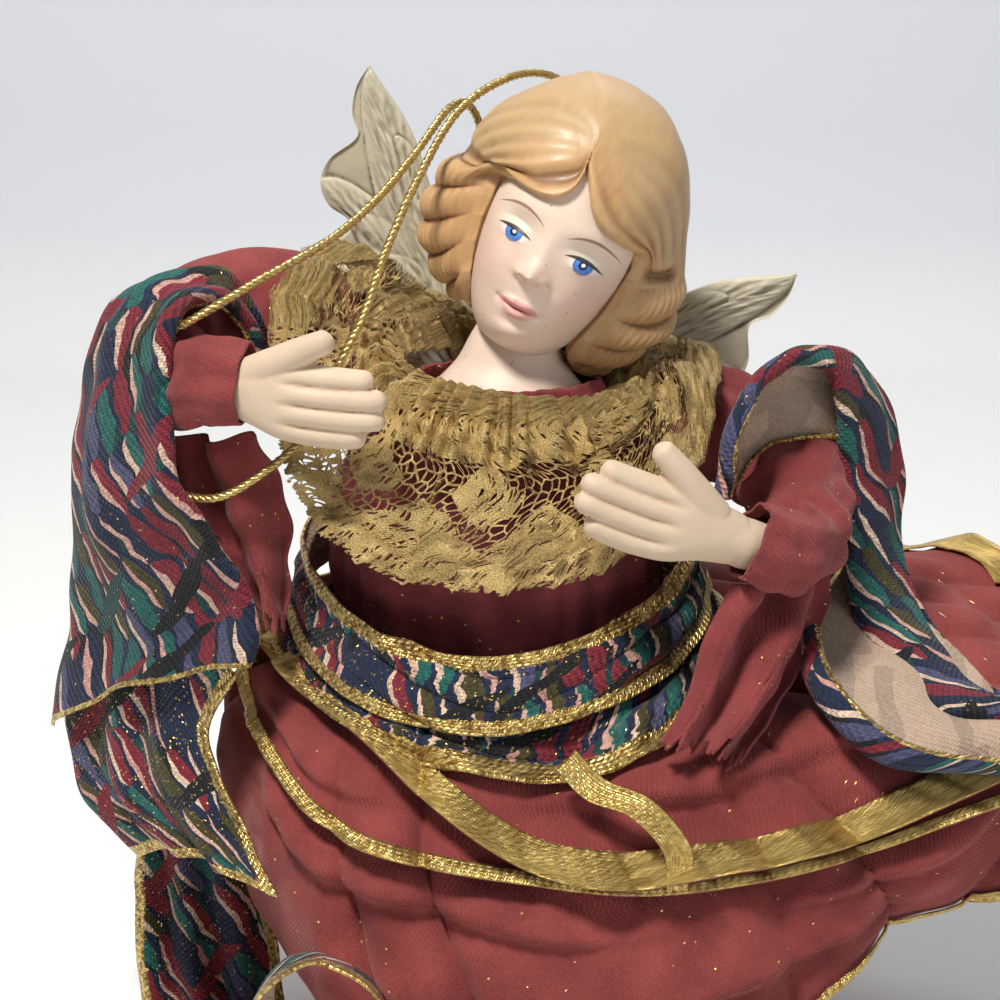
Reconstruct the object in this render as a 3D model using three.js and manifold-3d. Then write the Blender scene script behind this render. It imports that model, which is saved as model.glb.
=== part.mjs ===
// Angel tree topper: a cast head, hands and wings on a cardboard cone, dressed in stiffened cloth,
// wired ribbon and gathered gold lace, with a gold cord loop for hanging.
// Millimetres, +Z up. The figure faces -Y and its own right hand is on -X.
// Origin: centre of the cone's mouth, on the plane that the topper stands on.

import * as THREE from 'three';
import { mergeVertices } from 'three/addons/utils/BufferGeometryUtils.js';
import Module from 'manifold-3d';

const wasm = await Module();
wasm.setup();

// Gaps between pieces that touch on the real object
const SEAT_GAP = 0.35;

// Tree cone, rolled from card
const CONE_BASE_R = 19;
const CONE_TOP_R = 8;
const CONE_HEIGHT = 112;
const CONE_WALL = 1.2;
const CONE_SIDES = 28;

// Waist: half sizes and centre of the ring that the skirt hangs from
const WAIST_HALF = [27, 21.5];
const WAIST_CENTRE = [-1, 0, 76];
const WAIST_TILT = 0.22;
// How far the bodice stays inside that ring, at the ring and at its own lower edge
const BODICE_IN_WAIST = [1, 1.2];
const BODICE_IN_SKIRT = [2, 2];

// Padded body and its bodice: height, centre x, centre y, half width, half depth of the cloth
const BODY_RINGS = [
  [66, -1, 0, WAIST_HALF[0] - BODICE_IN_SKIRT[0], WAIST_HALF[1] - BODICE_IN_SKIRT[1]],
  [76, -1, 0, WAIST_HALF[0] - BODICE_IN_WAIST[0], WAIST_HALF[1] - BODICE_IN_WAIST[1]],
  [88, -1, -1, 27.5, 22],
  [100, -0.5, -1.5, 27, 21.5],
  [108, 0, -2, 24, 19],
  [114, 0.5, -3, 19, 15.5],
  [120, 1, -4, 15.2, 13.2],
];
const BODICE_CLOTH = 0.8;
// The padding closes over the cone's top, and the head's plate sits on it
const PADDING_OVER_CONE = 2;
const BODY_TOP_Z = CONE_HEIGHT + PADDING_OVER_CONE;
const BODY_SIDES = 20;

// Neck dowel from the cone's top into the head
const DOWEL_R = 3.5;
const DOWEL_BELOW_CONE_TOP = 20;
const DOWEL_ABOVE_CONE_TOP = 15;
const DOWEL_BOTTOM = [0, -1, CONE_HEIGHT - DOWEL_BELOW_CONE_TOP];
const DOWEL_TOP = [2.2, -3.4, CONE_HEIGHT + DOWEL_ABOVE_CONE_TOP];
const DOWEL_CLEARANCE = 0.35;
const DOWEL_SIDES = 12;

// Head: centre, lean to the figure's left and turn to its right, in degrees
const HEAD_CENTRE = [10.7, -4, 143.9];
const HEAD_LEAN = 26;
const HEAD_TURN = -11;
const FACE_HALF = [12.3, 14.6, 19.2];
const FACE_CENTRE = [0, -1, 0];
const JAW_TAPER = 0.18;
const NOSE_TIP = [0, -15.6, -6.6];
const NOSE_HALF = [2, 2.9, 3.2];
const LIPS_CENTRE = [0, -12.6, -12.9];
const LIPS_HALF = [3.1, 1.9, 1.4];
const EYE_SPACING = 12.8;
const EYE_HALF = [2.6, 1.6, 1.5];
const EYE_Z = -2.2;
const EYE_Y = -12.6;
// Moulded hair lumps: centre, half sizes, tilt about the front axis in degrees
const HAIR_CAP = [[-0.8, 4, 6], [18.6, 18.5, 18.5], 0];
const HAIR_BACK = [[0, 8, -5], [17, 10.5, 14], 0];
const BANG_RIGHT = [[-7.2, -11, 9.6], [9.6, 5.6, 4.3], -20];
const BANG_LEFT = [[7.4, -11.2, 8.8], [9.2, 5.6, 4.8], 30];
const SIDE_CURLS = [
  [[16.6, 0.5, 4], [6.2, 11.5, 4.6], 14],
  [[17.4, -1, -2.6], [6, 11, 4.3], 10],
  [[16.4, -1.4, -8.6], [5.8, 10, 4.1], 4],
  [[13.6, -0.6, -14.4], [5.4, 8.6, 3.8], -6],
];
// Neck and shoulder plate of the same casting
const NECK_PATH = [[5.5, -3, 134], [2.4, -3.5, 126], [1.2, -4, 119]];
const NECK_RADII = [7, 7.2, 9];
const NECK_SIDES = 16;
const PLATE_CENTRE = [1, -4, 117];
const PLATE_HALF = [13.4, 11.4, 5];

// Arms: 2 mm wire through the sleeves, ending in a straight shank inside each hand
const WIRE_R = 1;
const WIRE_SEAT_R = 1.35;
const SHANK_DEPTH = 8;
const RIGHT_WRIST = [-41.2, -27.5, 123.8];
const RIGHT_REACH = [0.957, -0.287, -0.049];
const LEFT_WRIST = [35, -31.5, 101.2];
const LEFT_REACH = [-0.891, -0.224, 0.396];
const RIGHT_WIRE_POINTS = [[-10, 4, 106], [-24, 8, 117], [-40, 9, 124], [-51, -3, 121.5], [-51, -17, 122.5]];
const LEFT_WIRE_POINTS = [[12, 4, 104], [24, 5, 109], [38, 3, 107], [48.5, -6, 100], [49, -20, 96]];

// Cast hand, wrist at its origin, fingers along +X, thumb up, back of the hand towards -Y
const STUB_LENGTH = 6.5;
const STUB_HALF = [4.2, 4.4];
const PALM_CENTRE = [7, 0, -2.2];
const PALM_HALF = [8.6, 3.3, 6.4];
const FINGER_R = 1.75;
const FINGER_PITCH = 3.15;
const FINGER_TOP_Z = 0.9;
const FINGER_ROOT_X = 10.5;
const FINGER_TIPS = [22.6, 24.6, 24.2, 21];
const THUMB_ROOT = [5.5, -0.6, 2.2];
const THUMB_TIP = [17.4, -1, 6.4];
const THUMB_R = 1.95;

// Sleeves, shoulder to cuff: centre x, y, z and radius of each ring along the arm
const SLEEVE_CLOTH = 0.8;
const SLEEVE_SIDES = 12;
const SLEEVE_FOLDS = 3;
const SLEEVE_FOLD_DEPTH = 0.5;
const RIGHT_SLEEVE = [
  [-21, 8, 119, 9.5],
  [-31, 10, 124, 10.6],
  [-42, 10, 127, 11.2],
  [-50, 3, 124.5, 10],
  [-51.5, -7, 121.5, 8.2],
  [-49.5, -16.5, 121.8, 7.4],
  [-45.5, -23.5, 123, 6.7],
  [-43, -26.4, 123.6, 6.6],
];
const LEFT_SLEEVE = [
  [20, 5, 112, 8.5],
  [30, 6, 111, 9],
  [39.5, 4, 107.5, 9.3],
  [47.5, -3, 102.5, 8.8],
  [48.5, -11, 98.5, 8.3],
  [47, -19, 96.6, 7.6],
  [44.4, -25.4, 97, 7],
  [40.4, -29.8, 98.7, 6.3],
];

// Cloth sheets between two edges, each edge a list of points from top to bottom
const DRAPE_CLOTH = 0.9;
const RIGHT_DRAPE = {
  edgeA: [[-52, -15, 113], [-49.5, -17, 102], [-43, -19, 93], [-38.5, -20.5, 84]],
  edgeB: [[-37, -24, 115], [-33.5, -22, 104], [-33.5, -21, 94], [-33.8, -21, 82]],
  folds: 2, depth: 1.2, camber: -2,
};
const LEFT_DRAPE = {
  edgeA: [[35.5, -31, 92.8], [31.5, -34.6, 86], [28.4, -37.6, 77], [24.5, -39, 69]],
  edgeB: [[53, -14, 90.2], [51.5, -19.5, 84], [43.5, -31, 74], [36, -39.5, 66]],
  folds: 3, depth: 1.5, camber: -1.5,
};

// Wired ribbon shawls, 0.8 mm with their lining
const RIBBON = 0.8;
const RIGHT_SHAWL = {
  edgeA: [
    [-37.7, -8, 124.5], [-39.7, -11, 131.5], [-43.1, -15, 135.7], [-47.3, -19, 136.5], [-51.6, -24.2, 133.8],
    [-52.2, -27, 126.1], [-52, -28.5, 118.1], [-51, -29.5, 108.1], [-45.4, -28.5, 97.5], [-40.5, -26.5, 88],
    [-39.3, -25.5, 79.6], [-46.9, -21, 64.6], [-41.3, -28, 53.4], [-34.5, -39.5, 44.8],
  ],
  middle: [
    [-37.8, -4.5, 123], [-40, -6.5, 132], [-44.5, -8, 137], [-52, -9, 137], [-60, -11, 131],
    [-64, -12.5, 121.5], [-65.5, -14, 110], [-65.5, -14.5, 100], [-63.5, -14.5, 91], [-61, -14, 82],
    [-60, -13, 74], [-62, -13, 62], [-59, -18, 49], [-50, -25.5, 39.5],
  ],
  edgeB: [
    [-38.5, -2, 122], [-40.5, -3, 130.5], [-45.5, -3, 135.3], [-53, -1, 134.4], [-61, -0.5, 131.5],
    [-64.5, 0.5, 122], [-67.5, 1.5, 112], [-69.5, 2, 101], [-70.5, 2, 91], [-71.5, 2, 80],
    [-73, 2, 70], [-73.4, 2, 58], [-71, 0, 47], [-61.5, -4, 37],
  ],
  folds: 2, depth: 0.6, camber: 0,
};
const RIGHT_SHAWL_TAIL = {
  edgeA: [[-54, 0, 56], [-46, 4.5, 37], [-41.8, 7, 24], [-39.5, 8, 14], [-38.5, 8, 2.2]],
  edgeB: [[-71, 4.2, 57], [-64, 8, 37], [-64.5, 9, 24], [-64.7, 9, 14], [-64, 9, 2.2]],
  folds: 3, depth: 1, camber: 1,
};
const RIGHT_SHAWL_CURL = {
  edgeA: [
    [-39.5, 8, 0.9], [-39, -10, 0.9], [-38.5, -22, 6], [-37, -29, 19], [-35, -34, 30.5], [-30, -39, 35],
    [-25, -42.5, 35.5], [-20, -45, 33], [-17.5, -46.5, 27],
  ],
  edgeB: [
    [-63.5, 8.5, 0.9], [-60, -16, 0.9], [-53, -33, 6], [-44, -42, 18], [-37, -46, 31], [-29.5, -49.5, 38.2],
    [-24, -51.5, 38], [-19, -53, 35], [-16.5, -54, 29],
  ],
  folds: 0, depth: 0, camber: 0.6,
};
const LEFT_SHAWL = {
  edgeA: [
    [33.5, -22.5, 105], [34.6, -22.3, 114], [38.1, -19.5, 121.3], [43.5, -16.5, 124.5], [48, -13.5, 125],
    [53.5, -10.5, 122.5], [55.8, -9, 115.5], [56.6, -8.5, 106], [57.6, -8.5, 96], [58.2, -9.5, 87],
    [59.5, -13, 80.5], [63.5, -19, 75], [70, -25.5, 71], [80, -27.5, 70],
  ],
  middle: [
    [35.5, -17, 106], [37.5, -16, 113.5], [41, -13, 119.5], [45.5, -10.5, 122], [50, -7, 123],
    [58, -2, 121.5], [64, 0.5, 114], [66, 1, 104], [66.5, 0.5, 94.5], [67.5, -2, 85.5],
    [70, -8, 79.5], [73.5, -15, 75.5], [78, -22, 72], [84, -26, 71],
  ],
  edgeB: [
    [37, -11, 104], [39.5, -9.5, 108], [42.5, -8.5, 110.3], [46, -8, 110.7], [50, -7, 110.7],
    [54.5, -5.5, 110], [57.5, -3.5, 106], [58, -2, 99], [57.5, -2, 90.5], [54, -6, 84],
    [49.5, -17, 79], [51, -29, 72.5], [60.5, -37, 66.3], [78.5, -32, 64.5],
  ],
  folds: 2, depth: 0.6, camber: 0,
};

// Lace collar: outer edge from the figure's right side through front, left and back
const COLLAR_NECK_HALF = [16.6, 14.6];
const COLLAR_NECK_CENTRE = [1, -4, 120.2];
const COLLAR_NECK_SLOPE = -0.15;
const COLLAR_EDGE = [
  [-37.5, -10, 128], [-33.5, -22, 107], [-23, -30, 96], [-9, -33, 92], [6, -33, 92],
  [20, -29.5, 96], [30.5, -22, 107], [35, -9, 117.5], [35.5, 5, 122], [24, 15, 120.5],
  [5, 18, 114.5], [-15, 18.5, 126.5], [-28.5, 12, 139], [-34.6, 0, 137.5],
];
const COLLAR_CLOTH = 0.6;
const COLLAR_PUFF = 4;
const COLLAR_FOLDS = 14;
const COLLAR_FOLD_DEPTH = 1.3;

// Skirt: rings every 30 degrees from the figure's right side through front, left and back
const SKIRT_BULGE = [
  [-46, 0, 55], [-39, -21, 50], [-20, -36, 47], [8, -41, 47], [32, -39, 52], [52, -31, 60],
  [64, -8, 68], [60, 16, 76], [40, 31, 72], [10, 37, 58], [-18, 34, 50], [-38, 20, 52],
];
const SKIRT_HEM = [
  [-24, 0, 0], [-17, -23, 0], [2, -38, 0], [28, -44, 6], [50, -41, 30], [80, -26, 38],
  [108, -6, 52], [110, 20, 70], [90, 40, 64], [50, 46, 28], [12, 40, 0], [-14, 24, 0],
];
const BULGE_SHARE = 0.42;
const SKIRT_CLOTH = 0.8;
const TIER_STEP = 1.9;
const SKIRT_FOLDS = 6;
const SKIRT_FOLD_DEPTH = 2.2;
const SKIRT_SIDES = 42;
// How far down the skirt each tier's hem reaches, at the same 30 degree steps
const MIDDLE_HEM = [0.2, 0.25, 0.36, 0.42, 0.53, 0.64, 0.88, 0.9, 0.84, 0.72, 0.55, 0.32];
const UPPER_HEM = [0.14, 0.12, 0.17, 0.4, 0.5, 0.6, 0.8, 0.82, 0.74, 0.6, 0.42, 0.24];
const TRIM_THICK = 0.5;
const TRIM_GAP = 0.4;
const NARROW_TRIM = 0.03;
const HEM_TURN = 0.015;
const WIDE_TRIM = 0.085;

// Waist sash of the same ribbon in two wraps: share of the skirt or height on the body
const SASH_SIDES = 28;
const LOWER_SASH_TOP = 0.045;
const LOWER_SASH_HEM = [0.1, 0.11, 0.16, 0.215, 0.215, 0.15, 0.11, 0.1, 0.1, 0.1, 0.1, 0.1];
const LOWER_SASH_STEP = 6.2;
const UPPER_SASH_CENTRE = [0, -0.5];
const UPPER_SASH_OUT = [4.5, 5];
const UPPER_SASH_HALF = [WAIST_HALF[0] + UPPER_SASH_OUT[0], WAIST_HALF[1] + UPPER_SASH_OUT[1]];
const UPPER_SASH_BACK_Z = 91;
const UPPER_SASH_DROP = 15.5;
const UPPER_SASH_FRONT = 6.4;
const UPPER_SASH_WIDTH = 11;
const UPPER_SASH_FLARE = 5.5;
const UPPER_SASH_SLOPE = 0.1;
const SASH_PLEATS = 2;
const SASH_PLEAT_DEPTH = 0.7;

// Gold streamer hanging from the sash
const STREAMER = {
  edgeA: [[13, -43.6, 62], [19.5, -46.4, 61], [24.5, -48, 56], [25.2, -48.2, 50]],
  edgeB: [[15.5, -43.2, 65.5], [23, -46.2, 63.5], [28.8, -48, 56.5], [28.2, -48.2, 49.5]],
  folds: 0, depth: 0, camber: 0.4,
};
const STREAMER_THICK = 0.5;

// Wings: outline along the wing from its root, feathered edge on -Y of the outline
const WING_THICK = 2.4;
const WING_LEAN = 25.9;
const WING_SPREAD = 40;
const WING_BACK = 25.2;
const WING_ROOT = [-3.6, 112];
const WING_ROOT_GAP = 5.7;
const WING_LEADING = [[0, 6], [15, 7], [30, 5], [42, 4], [54, 0]];
const WING_LOBES = [[54, 0], [37, -13], [21, -17], [5, -13]];
const WING_NOTCHES = [[43, -5], [29, -10], [13, -12]];
const FEATHER_RISE = 1.1;
const FEATHER_ROWS = 3;
const WING_WIRE_R = 0.8;
const WING_WIRE_INSET = 2;
const WING_WIRE_ALONG = 2.5;
const WING_WIRE_BEND = [[17, -3], [10, -8]];

// Hanging cord, gold braid, tied behind the neck
const CORD_R = 0.75;
const CORD_STEPS = 56;
const KNOT_CENTRE = [3, 17.4, 127.5];
const KNOT_HALF = [2.6, 1.9, 2];
const CORD_ROUTE = [
  [5.9, 17.6, 128], [8.6, 18.8, 133], [12.4, 19.8, 146], [13, 19.6, 158], [9.8, 16, 165],
  [2.6, 9.6, 166.4], [-6.4, 0.5, 161.8], [-12.8, -8.4, 152], [-17.6, -15.8, 141.8], [-20.8, -21, 133],
  [-24, -23.2, 127], [-27, -23.6, 120.5], [-30, -24.4, 114.6], [-37, -27.6, 109], [-44, -27.5, 105.6],
  [-51.5, -22.5, 106], [-58, -15.5, 110.5], [-60.4, -11, 116.5], [-59.8, -13, 123.5], [-55, -18.8, 129.4],
  [-49.4, -23, 131.2], [-44.6, -24.6, 134], [-36.5, -21.8, 138.4], [-26.4, -13.4, 143.2], [-19.4, -5, 148.4],
  [-13.6, 2, 154.6], [-9, 8.6, 160.4], [-6, 14.4, 161.6], [-3.6, 19, 158], [-2.6, 20, 150],
  [-1.4, 19.6, 138], [0.2, 18, 130.2],
];

const GOLD = { color: 0xc9a650, roughness: 0.35, metalness: 0.9 };
const BURGUNDY = { color: 0xa54f4e, roughness: 0.9, metalness: 0 };
const BODICE_RED = { color: 0x6e2a33, roughness: 0.85, metalness: 0 };
const PRINT = { color: 0x2b3350, roughness: 0.8, metalness: 0 };
const CARD = { color: 0xb49a74, roughness: 0.95, metalness: 0 };
const WADDING = { color: 0xe6dfd0, roughness: 1, metalness: 0 };
const WOOD = { color: 0xc8a06a, roughness: 0.7, metalness: 0 };
const STEEL = { color: 0x8d8f92, roughness: 0.4, metalness: 1 };
const PAINTED_FACE = { color: 0xebd3c4, roughness: 0.5, metalness: 0 };
const IVORY = { color: 0xefe3cf, roughness: 0.6, metalness: 0 };
const WING_RESIN = { color: 0xe4dfc8, roughness: 0.7, metalness: 0 };

const vector = (p) => new THREE.Vector3(...p);
const mix = THREE.MathUtils.lerp;
const radians = THREE.MathUtils.degToRad;

// A closed solid from manifold-3d, and the way back to a three.js geometry
function solidOf(geometry) {
  const bare = geometry.index ? geometry.toNonIndexed() : geometry.clone();
  bare.deleteAttribute('normal');
  bare.deleteAttribute('uv');
  const merged = mergeVertices(bare, 1e-3);
  return new wasm.Manifold(new wasm.Mesh({
    numProp: 3,
    vertProperties: new Float32Array(merged.attributes.position.array),
    triVerts: new Uint32Array(merged.index.array),
  }));
}

function geometryOf(solid) {
  const mesh = solid.getMesh();
  const geometry = new THREE.BufferGeometry();
  geometry.setAttribute('position', new THREE.BufferAttribute(new Float32Array(mesh.vertProperties), 3));
  geometry.setIndex(new THREE.BufferAttribute(new Uint32Array(mesh.triVerts), 1));
  return geometry;
}

const joined = (geometries) => geometries.map(solidOf).reduce((sum, solid) => sum.add(solid));

const cut = (geometry, cutters) => geometryOf(
  cutters.reduce((left, cutter) => left.subtract(solidOf(cutter)), solidOf(geometry)));

// Triangles of a grid of points; rows wrap round when the grid is closed
function gridFaces(faces, rows, columns, closed, start, turned) {
  const across = closed ? columns : columns - 1;
  for (let row = 0; row < rows - 1; row += 1) {
    for (let column = 0; column < across; column += 1) {
      const next = (column + 1) % columns;
      const a = start + row * columns + column;
      const b = start + row * columns + next;
      const c = start + (row + 1) * columns + column;
      const d = start + (row + 1) * columns + next;
      if (turned) faces.push(a, b, c, b, d, c);
      else faces.push(a, c, b, b, c, d);
    }
  }
}

// One closed solid between an outer and an inner grid of the same size
function wallBetween(outer, inner, closed) {
  const rows = outer.length;
  const columns = outer[0].length;
  const points = [...outer.flat(), ...inner.flat()];
  const faces = [];
  const inside = rows * columns;
  gridFaces(faces, rows, columns, closed, 0, false);
  gridFaces(faces, rows, columns, closed, inside, true);
  const rim = (first, second) => {
    faces.push(first, second, second + inside, first, second + inside, first + inside);
  };
  const across = closed ? columns : columns - 1;
  const last = (rows - 1) * columns;
  for (let column = 0; column < across; column += 1) {
    const next = (column + 1) % columns;
    rim(column, next);
    rim(last + next, last + column);
  }
  if (!closed) {
    for (let row = 0; row < rows - 1; row += 1) {
      const here = row * columns;
      rim(here + columns, here);
      rim(here + columns - 1, here + 2 * columns - 1);
    }
  }
  const geometry = new THREE.BufferGeometry();
  const flat = points.flatMap((p) => [p.x, p.y, p.z]);
  geometry.setAttribute('position', new THREE.Float32BufferAttribute(flat, 3));
  geometry.setIndex(faces);
  return geometry;
}

// Unit normals of a grid, from its neighbours along both ways
function gridNormals(grid, closed) {
  const rows = grid.length;
  const columns = grid[0].length;
  return grid.map((row, i) => row.map((_, j) => {
    const up = grid[Math.max(i - 1, 0)][j];
    const down = grid[Math.min(i + 1, rows - 1)][j];
    const left = closed ? row[(j + columns - 1) % columns] : row[Math.max(j - 1, 0)];
    const right = closed ? row[(j + 1) % columns] : row[Math.min(j + 1, columns - 1)];
    const along = right.clone().sub(left);
    return down.clone().sub(up).cross(along).normalize();
  }));
}

const pushed = (grid, normals, amount) => grid.map(
  (row, i) => row.map((p, j) => p.clone().addScaledVector(normals[i][j], amount)));

// A cloth solid that lies half its thickness to each side of a grid
function clothOf(grid, thick, closed) {
  const normals = gridNormals(grid, closed);
  return wallBetween(pushed(grid, normals, thick / 2), pushed(grid, normals, -thick / 2), closed);
}

// A ribbon or drape between two edges, through a middle line where it has one, with lengthwise folds
function ribbonGrid({ edgeA, middle, edgeB, folds, depth, camber }, steps, across) {
  const curveA = new THREE.CatmullRomCurve3(edgeA.map(vector));
  const curveB = new THREE.CatmullRomCurve3(edgeB.map(vector));
  const curveM = middle && new THREE.CatmullRomCurve3(middle.map(vector));
  const flat = [];
  for (let i = 0; i <= steps; i += 1) {
    const row = [];
    const a = curveA.getPoint(i / steps);
    const b = curveB.getPoint(i / steps);
    const m = curveM ? curveM.getPoint(i / steps) : a.clone().lerp(b, 0.5);
    for (let j = 0; j <= across; j += 1) {
      const s = j / across;
      row.push(b.clone().multiplyScalar((1 - s) * (1 - 2 * s))
        .addScaledVector(m, 4 * s * (1 - s))
        .addScaledVector(a, s * (2 * s - 1)));
    }
    flat.push(row);
  }
  const normals = gridNormals(flat, false);
  return flat.map((row, i) => row.map((p, j) => {
    const share = j / across;
    const rise = camber * Math.sin(Math.PI * share);
    const fold = depth * Math.sin(2 * Math.PI * folds * share);
    return p.clone().addScaledVector(normals[i][j], rise + fold);
  }));
}

const ribbonOf = (shape, thick, steps, across) => clothOf(ribbonGrid(shape, steps, across), thick, false);

// A round bar along a curve
function barAlong(points, radius, steps, sides) {
  const section = new THREE.Shape();
  for (let k = 0; k < sides; k += 1) {
    const angle = (2 * Math.PI * k) / sides;
    const place = [radius * Math.cos(angle), radius * Math.sin(angle)];
    if (k === 0) section.moveTo(...place);
    else section.lineTo(...place);
  }
  section.closePath();
  const extrudePath = new THREE.CatmullRomCurve3(points.map(vector));
  return new THREE.ExtrudeGeometry(section, { steps, extrudePath, bevelEnabled: false });
}

const rodBetween = (start, end, radius, sides) => barAlong([start, end], radius, 1, sides);

function ellipsoid(centre, half, tilt = 0, around = 9, down = 6) {
  const geometry = new THREE.SphereGeometry(1, around, down);
  geometry.rotateX(Math.PI / 2);
  geometry.scale(...half);
  geometry.rotateY(radians(tilt));
  geometry.translate(...centre);
  return geometry;
}

// Body loft: an elliptical ring at any height, grown by an amount
const heights = BODY_RINGS.map((ring) => ring[0]);

function bodyRing(z, grow, sides) {
  const above = heights.findIndex((height) => height >= z - 1e-9);
  const upper = above < 0 ? heights.length - 1 : Math.max(1, above);
  const [low, high] = [BODY_RINGS[upper - 1], BODY_RINGS[upper]];
  const share = (z - low[0]) / (high[0] - low[0]);
  const [cx, cy, a, b] = [1, 2, 3, 4].map((k) => mix(low[k], high[k], share));
  const points = [];
  for (let k = 0; k < sides; k += 1) {
    const angle = -Math.PI + (2 * Math.PI * k) / sides;
    const x = cx + (a + grow) * Math.cos(angle);
    const y = cy + (b + grow) * Math.sin(angle);
    points.push(new THREE.Vector3(x, y, z));
  }
  return points;
}

const bodyGrid = (levels, grow) => levels.map((z) => bodyRing(z, grow, BODY_SIDES));

// A solid loft of stacked rings with flat ends
function solidLoft(grid) {
  const columns = grid[0].length;
  const points = grid.flat();
  const faces = [];
  gridFaces(faces, grid.length, columns, true, 0, false);
  const cap = (start, turned) => {
    for (let k = 1; k < columns - 1; k += 1) {
      if (turned) faces.push(start, start + k + 1, start + k);
      else faces.push(start, start + k, start + k + 1);
    }
  };
  cap(0, false);
  cap((grid.length - 1) * columns, true);
  const geometry = new THREE.BufferGeometry();
  const flat = points.flatMap((p) => [p.x, p.y, p.z]);
  geometry.setAttribute('position', new THREE.Float32BufferAttribute(flat, 3));
  geometry.setIndex(faces);
  return geometry;
}

// Rings stacked downwards keep the outside of a wall on its right side
const downwards = [...heights].reverse();

function makeBodice(cutters) {
  const shell = wallBetween(bodyGrid(downwards, 0), bodyGrid(downwards, -BODICE_CLOTH), true);
  return cut(shell, cutters);
}

function makeBodyPadding(cutters) {
  const levels = [BODY_TOP_Z, ...downwards.filter((z) => z < BODY_TOP_Z)];
  const core = solidLoft(bodyGrid(levels, -BODICE_CLOTH - SEAT_GAP));
  return cut(core, [coneSolid(SEAT_GAP), ...cutters]);
}

function coneSolid(grow) {
  const profile = [[0, -grow], [CONE_BASE_R + grow, -grow], [CONE_TOP_R + grow, CONE_HEIGHT + grow]];
  const points = [...profile, [0, CONE_HEIGHT + grow]].map(([r, z]) => new THREE.Vector2(r, z));
  const geometry = new THREE.LatheGeometry(points, CONE_SIDES);
  geometry.rotateX(Math.PI / 2);
  return geometry;
}

function makeCone() {
  const profile = [
    [CONE_BASE_R - CONE_WALL, 0], [CONE_BASE_R, 0], [CONE_TOP_R, CONE_HEIGHT],
    [CONE_TOP_R - CONE_WALL, CONE_HEIGHT], [CONE_BASE_R - CONE_WALL, 0],
  ];
  const geometry = new THREE.LatheGeometry(profile.map(([r, z]) => new THREE.Vector2(r, z)), CONE_SIDES);
  geometry.rotateX(Math.PI / 2);
  return geometry;
}

// Head casting: face, nose, lips, eyelids, hair, neck and shoulder plate in one piece
function makeFace() {
  const geometry = ellipsoid([0, 0, 0], FACE_HALF, 0, 19, 14);
  const place = geometry.attributes.position;
  for (let k = 0; k < place.count; k += 1) {
    const depth = Math.max(0, -place.getZ(k) / FACE_HALF[2] - 0.3) / 0.7;
    place.setX(k, place.getX(k) * (1 - JAW_TAPER * depth));
    place.setY(k, place.getY(k) - 2.4 * depth * depth);
  }
  geometry.translate(...FACE_CENTRE);
  return geometry;
}

function makeHeadCasting() {
  const mirrored = ([[x, y, z], half, tilt]) => [[-x, y, z], half, -tilt];
  const lumps = [HAIR_CAP, HAIR_BACK, BANG_RIGHT, BANG_LEFT, ...SIDE_CURLS, ...SIDE_CURLS.map(mirrored)];
  const features = [
    makeFace(),
    ellipsoid(NOSE_TIP, NOSE_HALF, 0, 9, 6),
    ellipsoid(LIPS_CENTRE, LIPS_HALF, 0, 9, 5),
    ellipsoid([-EYE_SPACING / 2, EYE_Y, EYE_Z], EYE_HALF, 0, 9, 5),
    ellipsoid([EYE_SPACING / 2, EYE_Y, EYE_Z], EYE_HALF, 0, 9, 5),
    ...lumps.map((lump) => ellipsoid(...lump)),
  ];
  const turn = new THREE.Euler(0, radians(HEAD_LEAN), radians(HEAD_TURN), 'YZX');
  const placed = new THREE.Matrix4().makeRotationFromEuler(turn).setPosition(...HEAD_CENTRE);
  features.forEach((geometry) => geometry.applyMatrix4(placed));
  const neck = solidLoft(NECK_PATH.map(([x, y, z], level) => {
    const points = [];
    for (let k = 0; k < NECK_SIDES; k += 1) {
      const angle = -Math.PI + (2 * Math.PI * k) / NECK_SIDES;
      const r = NECK_RADII[level];
      points.push(new THREE.Vector3(x + r * Math.cos(angle), y + r * Math.sin(angle), z));
    }
    return points;
  }));
  const plate = ellipsoid(PLATE_CENTRE, PLATE_HALF, 0, 16, 6);
  const below = new THREE.BoxGeometry(80, 80, 40);
  below.translate(0, 0, BODY_TOP_Z + SEAT_GAP - 20);
  const whole = joined([...features, neck, plate]);
  const bore = rodBetween([...DOWEL_BOTTOM], DOWEL_TOP, DOWEL_R + DOWEL_CLEARANCE, DOWEL_SIDES);
  return geometryOf(whole.subtract(solidOf(below)).subtract(solidOf(bore)));
}

const shortened = (start, end, amount) => {
  const way = vector(end).sub(vector(start)).normalize();
  return vector(end).addScaledVector(way, -amount).toArray();
};

const makeDowel = () => rodBetween(
  DOWEL_BOTTOM, shortened(DOWEL_BOTTOM, DOWEL_TOP, SEAT_GAP), DOWEL_R, DOWEL_SIDES);

// Arm wire: bent points, then the straight shank along the hand's own axis
function wirePoints(points, wrist, reach) {
  const end = vector(wrist).addScaledVector(vector(reach).normalize(), SHANK_DEPTH - SEAT_GAP);
  const near = vector(wrist).addScaledVector(vector(reach).normalize(), -STUB_LENGTH);
  const middle = near.clone().lerp(end, 0.5);
  return [...points, near.toArray(), middle.toArray(), end.toArray()];
}

const makeWire = (points, wrist, reach, radius) => barAlong(wirePoints(points, wrist, reach), radius, 20, 8);

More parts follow.
